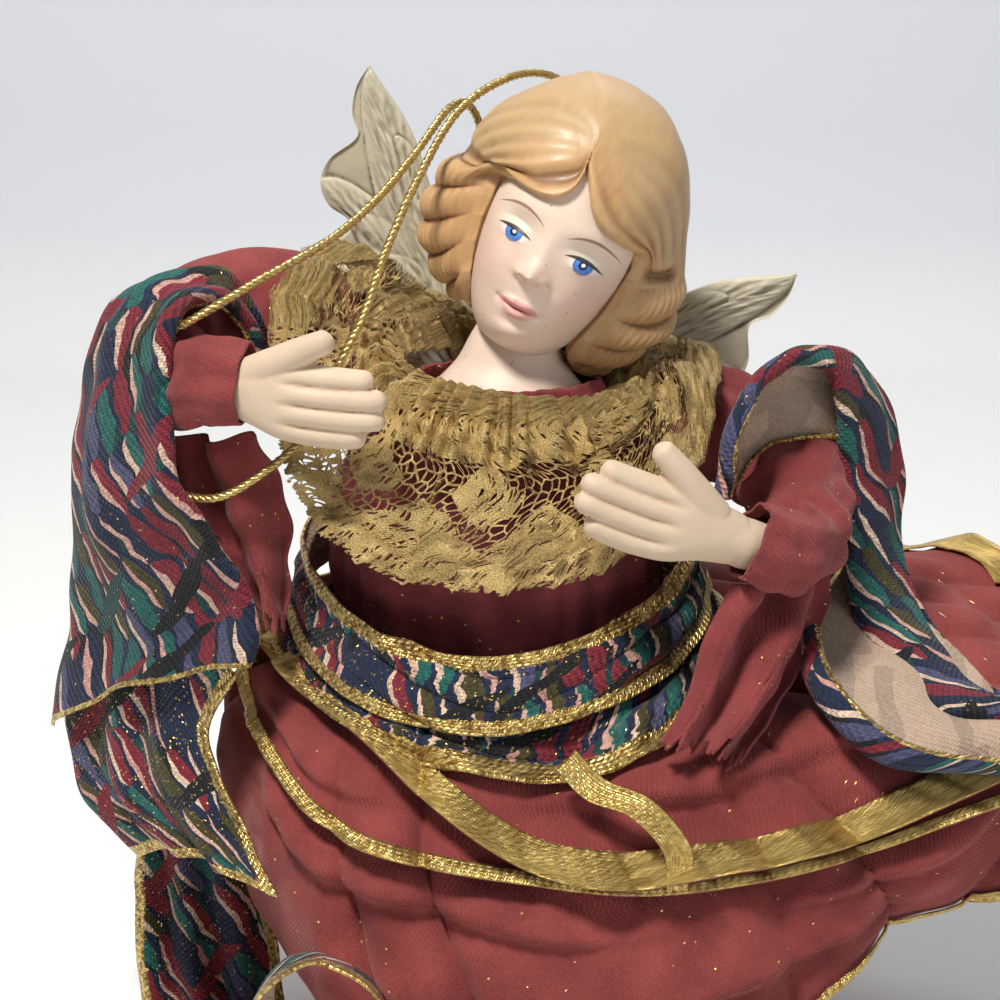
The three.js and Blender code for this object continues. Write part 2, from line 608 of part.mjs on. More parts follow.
// Cast hand in its own frame, then turned to reach along its axis with the thumb up
function makeHand(wrist, reach, mirror) {
  const stub = ellipsoid([-STUB_LENGTH + 7, 0, -0.6], [7, ...STUB_HALF], 0, 12, 6);
  const palm = ellipsoid(PALM_CENTRE, PALM_HALF, 8, 12, 8);
  const fingers = FINGER_TIPS.map((tip, k) => {
    const z = FINGER_TOP_Z - FINGER_PITCH * k;
    const finger = new THREE.CapsuleGeometry(FINGER_R, tip - FINGER_ROOT_X - FINGER_R, 2, 6);
    finger.rotateZ(-Math.PI / 2);
    finger.translate((FINGER_ROOT_X + tip - FINGER_R) / 2, -0.4, z);
    return finger;
  });
  const way = vector(THUMB_TIP).sub(vector(THUMB_ROOT));
  const thumb = new THREE.CapsuleGeometry(THUMB_R, way.length(), 2, 6);
  thumb.rotateZ(-Math.PI / 2);
  thumb.rotateY(-Math.atan2(way.z, way.x));
  const middle = vector(THUMB_ROOT).lerp(vector(THUMB_TIP), 0.5);
  thumb.translate(middle.x, middle.y, middle.z);
  const end = new THREE.BoxGeometry(20, 30, 30);
  end.translate(-STUB_LENGTH - 10, 0, 0);
  const bore = rodBetween([-STUB_LENGTH - 2, 0, 0], [SHANK_DEPTH, 0, 0], WIRE_SEAT_R, 12);
  const pieces = [stub, palm, thumb, ...fingers];
  const hand = joined(pieces).subtract(solidOf(end)).subtract(solidOf(bore));
  const along = vector(reach).normalize();
  const inward = new THREE.Vector3(0, 0, 1).cross(along).normalize();
  const up = along.clone().cross(inward);
  const geometry = geometryOf(hand);
  if (mirror) {
    geometry.scale(1, -1, 1);
    geometry.index.array.reverse();
  }
  return geometry.applyMatrix4(new THREE.Matrix4().makeBasis(along, inward, up).setPosition(...wrist));
}

// Sleeve: rings square to the arm's path, with shallow lengthwise folds
function sleeveGrid(rings, grow) {
  const path = new THREE.CatmullRomCurve3(rings.map((ring) => vector(ring.slice(0, 3))));
  const count = rings.length - 1;
  const steps = count * 2;
  const grid = [];
  let side = new THREE.Vector3(0, 0, 1);
  for (let i = 0; i <= steps; i += 1) {
    const share = i / steps;
    const level = Math.min(Math.floor(share * count), count - 1);
    const radius = mix(rings[level][3], rings[level + 1][3], share * count - level) + grow;
    const tangent = path.getTangent(share);
    side = side.addScaledVector(tangent, -side.dot(tangent)).normalize();
    const other = side.clone().cross(tangent);
    const centre = path.getPoint(share);
    const row = [];
    for (let k = 0; k < SLEEVE_SIDES; k += 1) {
      const angle = (2 * Math.PI * k) / SLEEVE_SIDES;
      const r = radius + SLEEVE_FOLD_DEPTH * Math.cos(SLEEVE_FOLDS * angle);
      const spoke = side.clone().multiplyScalar(Math.cos(angle)).addScaledVector(other, Math.sin(angle));
      row.push(centre.clone().addScaledVector(spoke, r));
    }
    grid.push(row);
  }
  return grid;
}

const makeSleeve = (rings) => wallBetween(sleeveGrid(rings, 0), sleeveGrid(rings, -SLEEVE_CLOTH), true);
const sleeveBlock = (rings, grow) => solidLoft(sleeveGrid(rings, grow));

// Skirt surface: share round from the figure's right side through the front, share down from waist to hem
const bulgeCurve = new THREE.CatmullRomCurve3(SKIRT_BULGE.map(vector), true, 'catmullrom', 0.5);
const hemCurve = new THREE.CatmullRomCurve3(SKIRT_HEM.map(vector), true, 'catmullrom', 0.5);

function skirtPoint(round, down) {
  const angle = -Math.PI + 2 * Math.PI * round;
  const y = WAIST_HALF[1] * Math.sin(angle);
  const x = WAIST_CENTRE[0] + WAIST_HALF[0] * Math.cos(angle);
  const waist = new THREE.Vector3(x, WAIST_CENTRE[1] + y, WAIST_CENTRE[2] + WAIST_TILT * y);
  const whole = round - Math.floor(round);
  const bulge = bulgeCurve.getPoint(whole);
  const hem = hemCurve.getPoint(whole);
  const m = BULGE_SHARE;
  return waist.multiplyScalar(((down - m) * (down - 1)) / m)
    .addScaledVector(bulge, (down * (down - 1)) / (m * (m - 1)))
    .addScaledVector(hem, (down * (down - m)) / (1 - m));
}

function skirtNormal(round, down) {
  const small = 1e-3;
  const below = skirtPoint(round, down + small).sub(skirtPoint(round, down - small));
  const along = skirtPoint(round + small, down).sub(skirtPoint(round - small, down));
  return below.cross(along).normalize();
}

const skirtFold = (round, down) => SKIRT_FOLD_DEPTH * down
  * Math.cos(2 * Math.PI * (SKIRT_FOLDS * round + 0.25 * down));

// A share at any place round the skirt, smooth between the values every 30 degrees
function roundShare(values, round) {
  const count = values.length;
  const place = (round - Math.floor(round)) * count;
  const k = Math.floor(place);
  const f = place - k;
  const [a, b, c, d] = [-1, 0, 1, 2].map((step) => values[(k + step + count) % count]);
  return 0.5 * (2 * b + (c - a) * f + (2 * a - 5 * b + 4 * c - d) * f * f + (3 * b - a - 3 * c + d) * f ** 3);
}

// A layer of the skirt from one share down to another, at a distance outside the lining
function skirtLayer(topAt, hemAt, rows, sides, offset, thick, pleat = () => 0) {
  const gridAt = (lift) => {
    const grid = [];
    for (let i = 0; i <= rows; i += 1) {
      const row = [];
      for (let k = 0; k < sides; k += 1) {
        const round = k / sides;
        const down = mix(topAt(round), hemAt(round), i / rows);
        const rise = offset + lift + skirtFold(round, down) + pleat(i / rows);
        row.push(skirtPoint(round, down).addScaledVector(skirtNormal(round, down), rise));
      }
      grid.push(row);
    }
    return grid;
  };
  return wallBetween(gridAt(thick), gridAt(0), true);
}

const middleHem = (round) => roundShare(MIDDLE_HEM, round);
const upperHem = (round) => roundShare(UPPER_HEM, round);
const trimOffset = SKIRT_CLOTH + TRIM_GAP;

// Everything under the plane that the topper stands on
const floor = new THREE.BoxGeometry(400, 400, 60);
floor.translate(0, 0, -30);

const makeUnderskirt = () => cut(skirtLayer(() => 0, () => 1, 7, SKIRT_SIDES, 0, SKIRT_CLOTH), [floor]);

const makeMiddleTier = () => skirtLayer(() => 0.005, middleHem, 4, SKIRT_SIDES, TIER_STEP, SKIRT_CLOTH);
const makeUpperTier = () => skirtLayer(() => 0.01, upperHem, 3, SKIRT_SIDES, 2 * TIER_STEP, SKIRT_CLOTH);

const makeTrim = (hemAt, width, offset) => skirtLayer(
  (round) => hemAt(round) - width, hemAt, 1, SKIRT_SIDES, offset + trimOffset, TRIM_THICK);

const sashPleat = (share) => SASH_PLEAT_DEPTH * (1 - Math.cos(2 * Math.PI * SASH_PLEATS * share)) / 2;

const makeLowerSash = () => skirtLayer(
  () => LOWER_SASH_TOP, (round) => roundShare(LOWER_SASH_HEM, round), 4, SASH_SIDES,
  LOWER_SASH_STEP, RIBBON, sashPleat);

function makeUpperSash() {
  const rows = 4;
  const gridAt = (inset) => {
    const grid = [];
    for (let i = 0; i <= rows; i += 1) {
      const share = i / rows;
      const row = [];
      for (let k = 0; k < SASH_SIDES; k += 1) {
        const angle = -Math.PI + (2 * Math.PI * k) / SASH_SIDES;
        const front = ((1 - Math.sin(angle)) / 2) ** 2;
        const flare = UPPER_SASH_FLARE * (0.35 + 0.65 * front) * (share - 0.5);
        const grow = sashPleat(share) + flare + UPPER_SASH_FRONT * front - inset;
        const x = UPPER_SASH_CENTRE[0] + (UPPER_SASH_HALF[0] + grow) * Math.cos(angle);
        const y = UPPER_SASH_CENTRE[1] + (UPPER_SASH_HALF[1] + grow) * Math.sin(angle);
        const lift = UPPER_SASH_SLOPE * Math.max(0, x);
        const z = UPPER_SASH_BACK_Z - UPPER_SASH_DROP * front + UPPER_SASH_WIDTH * (0.5 - share) + lift;
        row.push(new THREE.Vector3(x, y, z));
      }
      grid.push(row);
    }
    return grid;
  };
  return wallBetween(gridAt(0), gridAt(RIBBON), true);
}

// Lace collar: from the neck to its scalloped edge, puffed out and gathered into folds
function makeCollar(cutters) {
  const edge = new THREE.CatmullRomCurve3(COLLAR_EDGE.map(vector), true, 'catmullrom', 0.5);
  const sides = COLLAR_FOLDS * 4;
  const rows = 3;
  const flat = [];
  for (let i = 0; i <= rows; i += 1) {
    const row = [];
    for (let k = 0; k < sides; k += 1) {
      const round = k / sides;
      const angle = -Math.PI + 2 * Math.PI * round;
      const out = COLLAR_NECK_HALF[0] * Math.cos(angle);
      const neck = vector(COLLAR_NECK_CENTRE).add(new THREE.Vector3(
        out, COLLAR_NECK_HALF[1] * Math.sin(angle), COLLAR_NECK_SLOPE * out));
      row.push(neck.lerp(edge.getPoint(round), i / rows));
    }
    flat.push(row);
  }
  const normals = gridNormals(flat, true);
  const puffed = flat.map((row, i) => row.map((p, k) => {
    const share = i / rows;
    const fold = COLLAR_FOLD_DEPTH * share * Math.cos((2 * Math.PI * COLLAR_FOLDS * k) / sides);
    return p.clone().addScaledVector(normals[i][k], COLLAR_PUFF * Math.sin(Math.PI * share) + fold);
  }));
  return cut(clothOf(puffed, COLLAR_CLOTH, true), cutters);
}

// Where a wing's root sits, on a line square to the pair's lean
const wingRoot = (side) => {
  const lean = radians(WING_LEAN);
  const x = WING_ROOT[0] + side * WING_ROOT_GAP * Math.cos(lean);
  return new THREE.Vector3(x, WING_BACK, WING_ROOT[1] - side * WING_ROOT_GAP * Math.sin(lean));
};

const wingWay = (side) => {
  const lean = radians(WING_LEAN + side * WING_SPREAD);
  return new THREE.Vector3(Math.sin(lean), 0, Math.cos(lean));
};

// Wing: scalloped outline with overlapping feather blades raised on its front
function makeWing(side) {
  const outline = new THREE.Shape();
  outline.moveTo(...WING_LEADING[0]);
  outline.splineThru(WING_LEADING.slice(1).map(([x, y]) => new THREE.Vector2(x, y)));
  WING_NOTCHES.forEach((notch, k) => {
    const [fromX, fromY] = WING_LOBES[k];
    const [toX, toY] = WING_LOBES[k + 1];
    outline.quadraticCurveTo(mix(fromX, notch[0], 0.55), fromY + (notch[1] - fromY) * 0.9, ...notch);
    outline.quadraticCurveTo(mix(notch[0], toX, 0.25), mix(notch[1], toY, 0.95), toX, toY);
  });
  outline.lineTo(0, -8);
  outline.closePath();
  const sheet = { depth: WING_THICK, bevelEnabled: false, curveSegments: 5 };
  const plate = new THREE.ExtrudeGeometry(outline, sheet);
  const blades = [];
  WING_LOBES.forEach(([tipX, tipY], k) => {
    for (let row = 0; row < FEATHER_ROWS - k; row += 1) {
      const reach = 0.94 - 0.2 * row;
      const blade = new THREE.CylinderGeometry(1, 1, FEATHER_RISE, 8);
      blade.rotateX(Math.PI / 2);
      const length = Math.hypot(tipX, tipY) * 0.2 + 2;
      blade.scale(length, 2.6 - 0.25 * row, 1);
      blade.rotateZ(Math.atan2(tipY - 1, tipX));
      const rise = WING_THICK + FEATHER_RISE / 2 - 0.3 - 0.12 * row;
      blade.translate(tipX * reach - length * 0.9, (tipY + 0.6) * reach, rise);
      blades.push(blade);
    }
  });
  const shoulder = ellipsoid([9, -1.5, WING_THICK - 0.4], [11, 6.4, 1.9], 0, 12, 6);
  const wing = geometryOf(joined([plate, shoulder, ...blades]));
  const along = wingWay(side);
  const across = new THREE.Vector3(-along.z, 0, along.x).multiplyScalar(side);
  const front = new THREE.Vector3(0, -1, 0);
  const root = wingRoot(side);
  const placed = new THREE.Matrix4().makeBasis(along, across, front).setPosition(root);
  wing.applyMatrix4(placed);
  if (placed.determinant() < 0) wing.index.array.reverse();
  return cut(wing, [makeWingWire(side, WING_WIRE_R + SEAT_GAP)]);
}

// Bent wire from the body padding into a wing's root
const makeWingWire = (side, radius) => {
  const end = wingRoot(side).addScaledVector(wingWay(side), WING_WIRE_ALONG);
  const bends = WING_WIRE_BEND.map(([y, drop]) => [end.x, y, end.z + drop]);
  return barAlong([[end.x, WING_BACK - WING_WIRE_INSET, end.z], ...bends], radius, 8, 8);
};

const mesh = (name, geometry, finish) => {
  const made = new THREE.Mesh(geometry, new THREE.MeshStandardMaterial(finish));
  made.name = name;
  return made;
};

const dowelHole = rodBetween(DOWEL_BOTTOM, DOWEL_TOP, DOWEL_R + DOWEL_CLEARANCE, DOWEL_SIDES);
const rightWire = (radius) => makeWire(RIGHT_WIRE_POINTS, RIGHT_WRIST, RIGHT_REACH, radius);
const leftWire = (radius) => makeWire(LEFT_WIRE_POINTS, LEFT_WRIST, LEFT_REACH, radius);
const armHoles = [rightWire(WIRE_R + SEAT_GAP), leftWire(WIRE_R + SEAT_GAP)];
const wingHoles = [-1, 1].map((side) => makeWingWire(side, WING_WIRE_R + SEAT_GAP));
const bodyBlock = solidLoft(bodyGrid(downwards, SEAT_GAP));
const rightSleeveBlock = sleeveBlock(RIGHT_SLEEVE, SEAT_GAP);
const leftSleeveBlock = sleeveBlock(LEFT_SLEEVE, SEAT_GAP);
const rightDrape = ribbonOf(RIGHT_DRAPE, DRAPE_CLOTH, 8, 8);
const leftDrape = ribbonOf(LEFT_DRAPE, DRAPE_CLOTH, 8, 12);
const underskirtTrim = makeTrim(() => 1 - HEM_TURN, NARROW_TRIM, 0);

const topper = new THREE.Group();
topper.add(
  mesh('tree_cone', makeCone(), CARD),
  mesh('body_padding', makeBodyPadding([dowelHole, ...armHoles, ...wingHoles]), WADDING),
  mesh('neck_dowel', makeDowel(), WOOD),
  mesh('head', makeHeadCasting(), PAINTED_FACE),
  mesh('right_arm_wire', rightWire(WIRE_R), STEEL),
  mesh('left_arm_wire', leftWire(WIRE_R), STEEL),
  mesh('right_hand', makeHand(RIGHT_WRIST, RIGHT_REACH, false), IVORY),
  mesh('left_hand', makeHand(LEFT_WRIST, LEFT_REACH, true), IVORY),
  mesh('bodice', makeBodice([...armHoles, ...wingHoles]), BODICE_RED),
  mesh('right_sleeve', cut(makeSleeve(RIGHT_SLEEVE), [bodyBlock]), BURGUNDY),
  mesh('left_sleeve', cut(makeSleeve(LEFT_SLEEVE), [bodyBlock]), BURGUNDY),
  mesh('right_sleeve_drape', cut(rightDrape, [rightSleeveBlock]), BURGUNDY),
  mesh('left_sleeve_drape', cut(leftDrape, [leftSleeveBlock]), BURGUNDY),
  mesh('underskirt', makeUnderskirt(), BURGUNDY),
  mesh('middle_tier', makeMiddleTier(), BURGUNDY),
  mesh('upper_tier', makeUpperTier(), BURGUNDY),
  mesh('underskirt_trim', cut(underskirtTrim, [floor]), GOLD),
  mesh('middle_tier_trim', makeTrim(middleHem, NARROW_TRIM, TIER_STEP), GOLD),
  mesh('upper_tier_band', makeTrim(upperHem, WIDE_TRIM, 2 * TIER_STEP), GOLD),
  mesh('lower_sash', makeLowerSash(), PRINT),
  mesh('upper_sash', makeUpperSash(), PRINT),
  mesh('gold_streamer', ribbonOf(STREAMER, STREAMER_THICK, 8, 2), GOLD),
  mesh('right_shawl', ribbonOf(RIGHT_SHAWL, RIBBON, 26, 5), PRINT),
  mesh('right_shawl_tail', ribbonOf(RIGHT_SHAWL_TAIL, RIBBON, 8, 12), PRINT),
  mesh('right_shawl_curl', ribbonOf(RIGHT_SHAWL_CURL, RIBBON, 20, 4), PRINT),
  mesh('left_shawl', ribbonOf(LEFT_SHAWL, RIBBON, 24, 5), PRINT),
  mesh('lace_collar', makeCollar(wingHoles), GOLD),
  mesh('right_wing', makeWing(-1), WING_RESIN),
  mesh('left_wing', makeWing(1), WING_RESIN),
  mesh('right_wing_wire', makeWingWire(-1, WING_WIRE_R), STEEL),
  mesh('left_wing_wire', makeWingWire(1, WING_WIRE_R), STEEL),
  mesh('hanging_cord', barAlong(CORD_ROUTE, CORD_R, CORD_STEPS, 8), GOLD),
  mesh('cord_knot', ellipsoid(KNOT_CENTRE, KNOT_HALF, 0, 12, 8), GOLD),
);

export default topper;
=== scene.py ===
# %% [markdown]
# # An angel tree topper, dressed step by step
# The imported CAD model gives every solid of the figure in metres. This lesson keeps those places and builds
# what the eye sees: a painted cast head, hands and wings, stiffened cloth, printed ribbon, gold lace and
# cord. Each piece is made where it stands, so nothing has to be fitted afterwards.

# %% Load the frame
import math

import bpy
import numpy as np
from mathutils import Matrix, Vector


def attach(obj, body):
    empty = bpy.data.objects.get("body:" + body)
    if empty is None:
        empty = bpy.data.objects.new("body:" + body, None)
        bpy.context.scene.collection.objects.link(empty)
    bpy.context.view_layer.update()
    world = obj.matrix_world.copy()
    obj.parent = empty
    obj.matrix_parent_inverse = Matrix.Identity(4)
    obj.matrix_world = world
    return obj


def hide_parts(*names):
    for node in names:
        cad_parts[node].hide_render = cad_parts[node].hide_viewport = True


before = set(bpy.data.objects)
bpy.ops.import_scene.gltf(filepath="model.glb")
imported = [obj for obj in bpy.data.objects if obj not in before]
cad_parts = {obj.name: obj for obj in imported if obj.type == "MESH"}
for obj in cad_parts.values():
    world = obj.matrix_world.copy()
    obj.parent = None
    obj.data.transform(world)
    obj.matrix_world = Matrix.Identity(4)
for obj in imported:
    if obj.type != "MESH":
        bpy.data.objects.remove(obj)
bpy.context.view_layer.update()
MM = 0.001
# One full turn in radians
TURN = 2 * math.pi
FIGURE = "figure"
print("nodes:", len(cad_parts))

# %% [markdown]
# ## Camera and light
# The photograph looks down on the figure by about fifteen degrees from a little under half a metre. One
# lamp high on the left gives its clear shadows. A weaker lamp on the right, one behind and an even world
# light fill them.

# %% Camera and lamps
CAMERA_TILT = 15
CAMERA_PLACE = (0, -0.3864, 0.2015)
CAMERA_LENS = 87.27
FIGURE_MIDDLE = (0, 0, 0.09)
WORLD_LIGHT = 0.15


def deselect():
    bpy.ops.object.select_all(action="DESELECT")


def add_lamp(name, place, target, size, power, colour):
    lamp = bpy.data.lights.new(name, "AREA")
    lamp.size = size
    lamp.energy = power
    lamp.color = colour
    holder = bpy.data.objects.new(name, lamp)
    bpy.context.scene.collection.objects.link(holder)
    holder.location = place
    holder.rotation_euler = (Vector(target) - Vector(place)).to_track_quat("-Z", "Y").to_euler()


deselect()
bpy.ops.object.camera_add(location=CAMERA_PLACE, rotation=(math.radians(90 - CAMERA_TILT), 0, 0))
camera = bpy.context.object
camera.data.sensor_width = 36
camera.data.lens = CAMERA_LENS
camera.data.clip_start = 0.01
scene = bpy.context.scene
scene.camera = camera
scene.view_settings.view_transform = "Standard"
add_lamp("key_lamp", (-0.2, -0.36, 0.84), FIGURE_MIDDLE, 0.16, 9.0, (1.0, 0.97, 0.92))
add_lamp("fill_lamp", (0.7, -0.55, 0.4), FIGURE_MIDDLE, 0.6, 1.25, (0.95, 0.97, 1.0))
add_lamp("back_lamp", (0.15, 0.45, 0.75), FIGURE_MIDDLE, 0.4, 1.4, (1.0, 1.0, 1.0))
world = bpy.data.worlds.new("studio_world")
scene.world = world
world.use_nodes = True
world.node_tree.nodes["Background"].inputs["Color"].default_value = (0.94, 0.96, 1.0, 1)
world.node_tree.nodes["Background"].inputs["Strength"].default_value = WORLD_LIGHT
print("camera lens:", camera.data.lens)

# %% [markdown]
# ## Curves and meshes from numbers
# Cloth is easiest to think of as a grid: one way along the ribbon, the other way across it. A smooth line
# through a few points gives each edge, and the grid hangs between the edges. The same small set of helpers
# makes every cloth piece, and each grid also gets a flat map in centimetres, so that a weave keeps its size
# on the folds.


# %% Smooth lines
def smooth_line(points, share, closed=False):
    """Points on a smooth line through the given ones; share runs from 0 to 1 along it."""
    points = np.asarray(points, float)
    count = len(points)
    if closed:
        place = (np.asarray(share, float) % 1.0) * count
        base = np.floor(place).astype(int)
        knots = [points[(base + step) % count] for step in (-1, 0, 1, 2)]
    else:
        first = 2 * points[0] - points[1]
        last = 2 * points[-1] - points[-2]
        padded = np.vstack((first, points, last))
        place = np.clip(np.asarray(share, float), 0, 1) * (count - 1)
        base = np.minimum(np.floor(place).astype(int), count - 2)
        knots = [padded[base + step] for step in (0, 1, 2, 3)]
    f = (place - base)[..., None]
    a, b, c, d = knots
    square = 2 * a - 5 * b + 4 * c - d
    cube = 3 * b - a - 3 * c + d
    return 0.5 * (2 * b + (c - a) * f + square * f ** 2 + cube * f ** 3)


def ripple(points, size, seed, waves=9):
    """Soft wrinkles from -1 to 1: crossing waves of about one size, the same each run."""
    draw = np.random.default_rng(seed)
    total = np.zeros(points.shape[:-1])
    for _ in range(waves):
        way = draw.normal(size=points.shape[-1])
        way /= np.linalg.norm(way)
        length = size * draw.uniform(0.7, 1.6)
        total += np.sin(TURN * (points @ way) / length + draw.uniform(0, TURN))
    return total / math.sqrt(waves * 2)


def grid_normals(grid, closed):
    """Unit normals of a grid of points, row by row."""
    down = np.gradient(grid, axis=0)
    if closed:
        across = np.roll(grid, -1, axis=1) - np.roll(grid, 1, axis=1)
    else:
        across = np.gradient(grid, axis=1)
    normal = np.cross(down, across)
    return normal / np.maximum(np.linalg.norm(normal, axis=-1, keepdims=True), 1e-9)


def flat_map(grid, closed):
    """Flat lengths in centimetres: across each row and down the grid's middle."""
    if closed:
        grid = np.concatenate((grid, grid[:, :1]), axis=1)
    steps = np.linalg.norm(np.diff(grid, axis=1), axis=-1)
    across = np.concatenate((np.zeros((len(grid), 1)), np.cumsum(steps, axis=1)), axis=1)
    drop = np.linalg.norm(np.diff(grid, axis=0), axis=-1).mean(axis=1)
    down = np.concatenate(([0], np.cumsum(drop)))
    return across / 10, np.repeat(down[:, None] / 10, across.shape[1], axis=1)


print("helpers ready")


# %% Cloth from a grid
def mesh_object(name, points, faces):
    mesh = bpy.data.meshes.new(name)
    mesh.from_pydata([tuple(p) for p in np.asarray(points) * MM], [], faces)
    mesh.update()
    piece = bpy.data.objects.new(name, mesh)
    scene.collection.objects.link(piece)
    return piece


def only(piece):
    deselect()
    piece.select_set(True)
    bpy.context.view_layer.objects.active = piece


def smooth_shade(piece):
    only(piece)
    bpy.ops.object.shade_smooth()


def apply_all(piece):
    only(piece)
    for modifier in list(piece.modifiers):
        bpy.ops.object.modifier_apply(modifier=modifier.name)
    smooth_shade(piece)


def face_outward(piece):
    only(piece)
    bpy.ops.object.mode_set(mode="EDIT")
    bpy.ops.mesh.select_all(action="SELECT")
    bpy.ops.mesh.normals_make_consistent(inside=False)
    bpy.ops.object.mode_set(mode="OBJECT")
    smooth_shade(piece)


def points_of(piece):
    """The places of a mesh's points in millimetres."""
    places = np.zeros(len(piece.data.vertices) * 3)
    piece.data.vertices.foreach_get("co", places)
    return places.reshape(-1, 3) / MM


def add_values(piece, name, values):
    """Keeps a number for each point of the mesh, for its material to read."""
    layer = piece.data.attributes.new(name, "FLOAT", "POINT")
    layer.data.foreach_set("value", np.asarray(values, np.float32).ravel())


def settle(piece, node_name, body=FIGURE):
    """Says which body a piece rides on and which solid it stands for."""
    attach(piece, body)
    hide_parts(node_name)


def cloth_piece(name, grid, thickness, materials, closed=False, edge=None):
    """A closed sheet of cloth on a grid in millimetres, with a flat map in centimetres."""
    rows, columns = grid.shape[:2]
    across = columns if closed else columns - 1
    i, j = np.meshgrid(np.arange(rows - 1), np.arange(across), indexing="ij")
    k = (j + 1) % columns
    quads = np.stack((i * columns + j, (i + 1) * columns + j, (i + 1) * columns + k, i * columns + k), -1)
    piece = mesh_object(name, grid.reshape(-1, 3), quads.reshape(-1, 4).tolist())
    u, v = flat_map(grid, closed)
    corner_rows = np.stack((i, i + 1, i + 1, i), -1).reshape(-1)
    corner_columns = np.stack((j, j, j + 1, j + 1), -1).reshape(-1)
    layer = piece.data.uv_layers.new(name="flat")
    places = np.stack((u[corner_rows, corner_columns], v[corner_rows, corner_columns]), -1)
    layer.data.foreach_set("uv", places.astype(np.float32).ravel())
    if edge is not None:
        add_values(piece, "edge", edge)
    for material in materials:
        piece.data.materials.append(material)
    wall_maker = piece.modifiers.new("thickness", "SOLIDIFY")
    wall_maker.thickness = thickness * MM
    wall_maker.offset = 0
    wall_maker.use_even_offset = False
    wall_maker.material_offset = len(materials) - 1
    apply_all(piece)
    cells = np.cross(grid[1:, :-1] - grid[:-1, :-1], grid[:-1, 1:] - grid[:-1, :-1])
    piece["cloth_area"] = float(np.sum(np.linalg.norm(cells, axis=-1))) * MM * MM
    return piece


def edge_distance(grid, gold_end=False):
    """Distance in centimetres from the long edges of an open grid, and from its lower end if bound."""
    u, v = flat_map(grid, False)
    edge = np.minimum(u, u[:, -1:] - u)
    return np.minimum(edge, v[-1:] - v) if gold_end else edge


print("cloth maker ready")

# %% [markdown]
# ## Finishes
# The figure has few finishes, and each is seen close up: a dull burgundy weave with gold flecks, gold
# ribbon with fine ribs, a printed tapestry ribbon and painted castings. A weave, a fleck and a painted spot
# are each one shader group, placed in every material that needs it with its own values.


# %% Node helpers
def feed(tree, socket, value):
    """Links a socket to another one, or sets its value; a colour of three numbers gets an alpha of 1."""
    if isinstance(value, bpy.types.NodeSocket):
        tree.links.new(value, socket)
    elif socket.type == "RGBA" and len(value) == 3:
        socket.default_value = (*value, 1)
    else:
        socket.default_value = value


def node(tree, kind, inputs=None, **settings):
    made = tree.nodes.new(kind)
    for name, value in settings.items():
        setattr(made, name, value)
    for name, value in (inputs or {}).items():
        feed(tree, made.inputs[name], value)
    return made


def calc(tree, operation, *values):
    return node(tree, "ShaderNodeMath", dict(enumerate(values)), operation=operation).outputs[0]


def times(tree, first, second):
    return calc(tree, "MULTIPLY", first, second)


def plus(tree, first, second):
    return calc(tree, "ADD", first, second)


def minus(tree, first, second):
    return calc(tree, "SUBTRACT", first, second)


def blend_colour(tree, share, first, second, mode="MIX"):
    inputs = {0: share, 6: first, 7: second}
    return node(tree, "ShaderNodeMix", inputs, data_type="RGBA", blend_type=mode).outputs[2]


def noise(tree, place, scale, detail, output=0):
    inputs = {"Vector": place, "Scale": scale, "Detail": detail}
    return node(tree, "ShaderNodeTexNoise", inputs).outputs[output]


def share_between(tree, value, low, high):
    """0 at the low value and 1 at the high one; the low one may be the larger."""
    return node(tree, "ShaderNodeMapRange", {"Value": value, "From Min": low, "From Max": high}).outputs[0]


def stored(tree, name, output="Fac"):
    """What add_values or add_head_place kept on the mesh."""
    return node(tree, "ShaderNodeAttribute", attribute_name=name).outputs[output]


def flat_place(tree):
    return node(tree, "ShaderNodeUVMap", uv_map="flat").outputs[0]


def object_place(tree):
    return node(tree, "ShaderNodeTexCoord").outputs["Object"]


def parts_of(tree, place):
    return node(tree, "ShaderNodeSeparateXYZ", {"Vector": place}).outputs


def warped(tree, place, scale, amount):
    """A place shaken by soft noise."""
    shake = noise(tree, place, scale, 2.0, "Color")
    middle = (0.5, 0.5, 0.5)
    shift = node(tree, "ShaderNodeVectorMath", {0: shake, 1: middle}, operation="SUBTRACT").outputs[0]
    sized = node(tree, "ShaderNodeVectorMath", {0: shift, "Scale": amount}, operation="SCALE").outputs[0]
    return node(tree, "ShaderNodeVectorMath", {0: place, 1: sized}, operation="ADD").outputs[0]


def linear(code):
    """A screen colour such as A54F4E as linear red, green and blue."""
    levels = [int(code[k:k + 2], 16) / 255 for k in (0, 2, 4)]
    return tuple(x / 12.92 if x <= 0.04045 else ((x + 0.055) / 1.055) ** 2.4 for x in levels)


def new_group(name, inputs, outputs):
    tree = bpy.data.node_groups.new(name, "ShaderNodeTree")
    for title, kind in inputs:
        tree.interface.new_socket(title, in_out="INPUT", socket_type="NodeSocket" + kind)
    for title, kind in outputs:
        tree.interface.new_socket(title, in_out="OUTPUT", socket_type="NodeSocket" + kind)
    return tree, tree.nodes.new("NodeGroupInput").outputs, tree.nodes.new("NodeGroupOutput").inputs


def use_group(tree, group, inputs):
    return node(tree, "ShaderNodeGroup", inputs, node_tree=group).outputs


def new_material(name):
    material = bpy.data.materials.new(name)
    material.use_nodes = True
    tree = material.node_tree
    return material, tree, tree.nodes["Principled BSDF"].inputs


def bump(tree, height, strength, depth):
    inputs = {"Height": height, "Strength": strength, "Distance": depth}
    return node(tree, "ShaderNodeBump", inputs).outputs[0]


print("node helpers ready")

# %% [markdown]
# ## Table and wall
# A white table meets a pale lilac wall. One sheet bends up from the one into the other, so that no line
# shows, and its paint is clear from behind, so that a view from there looks through it.

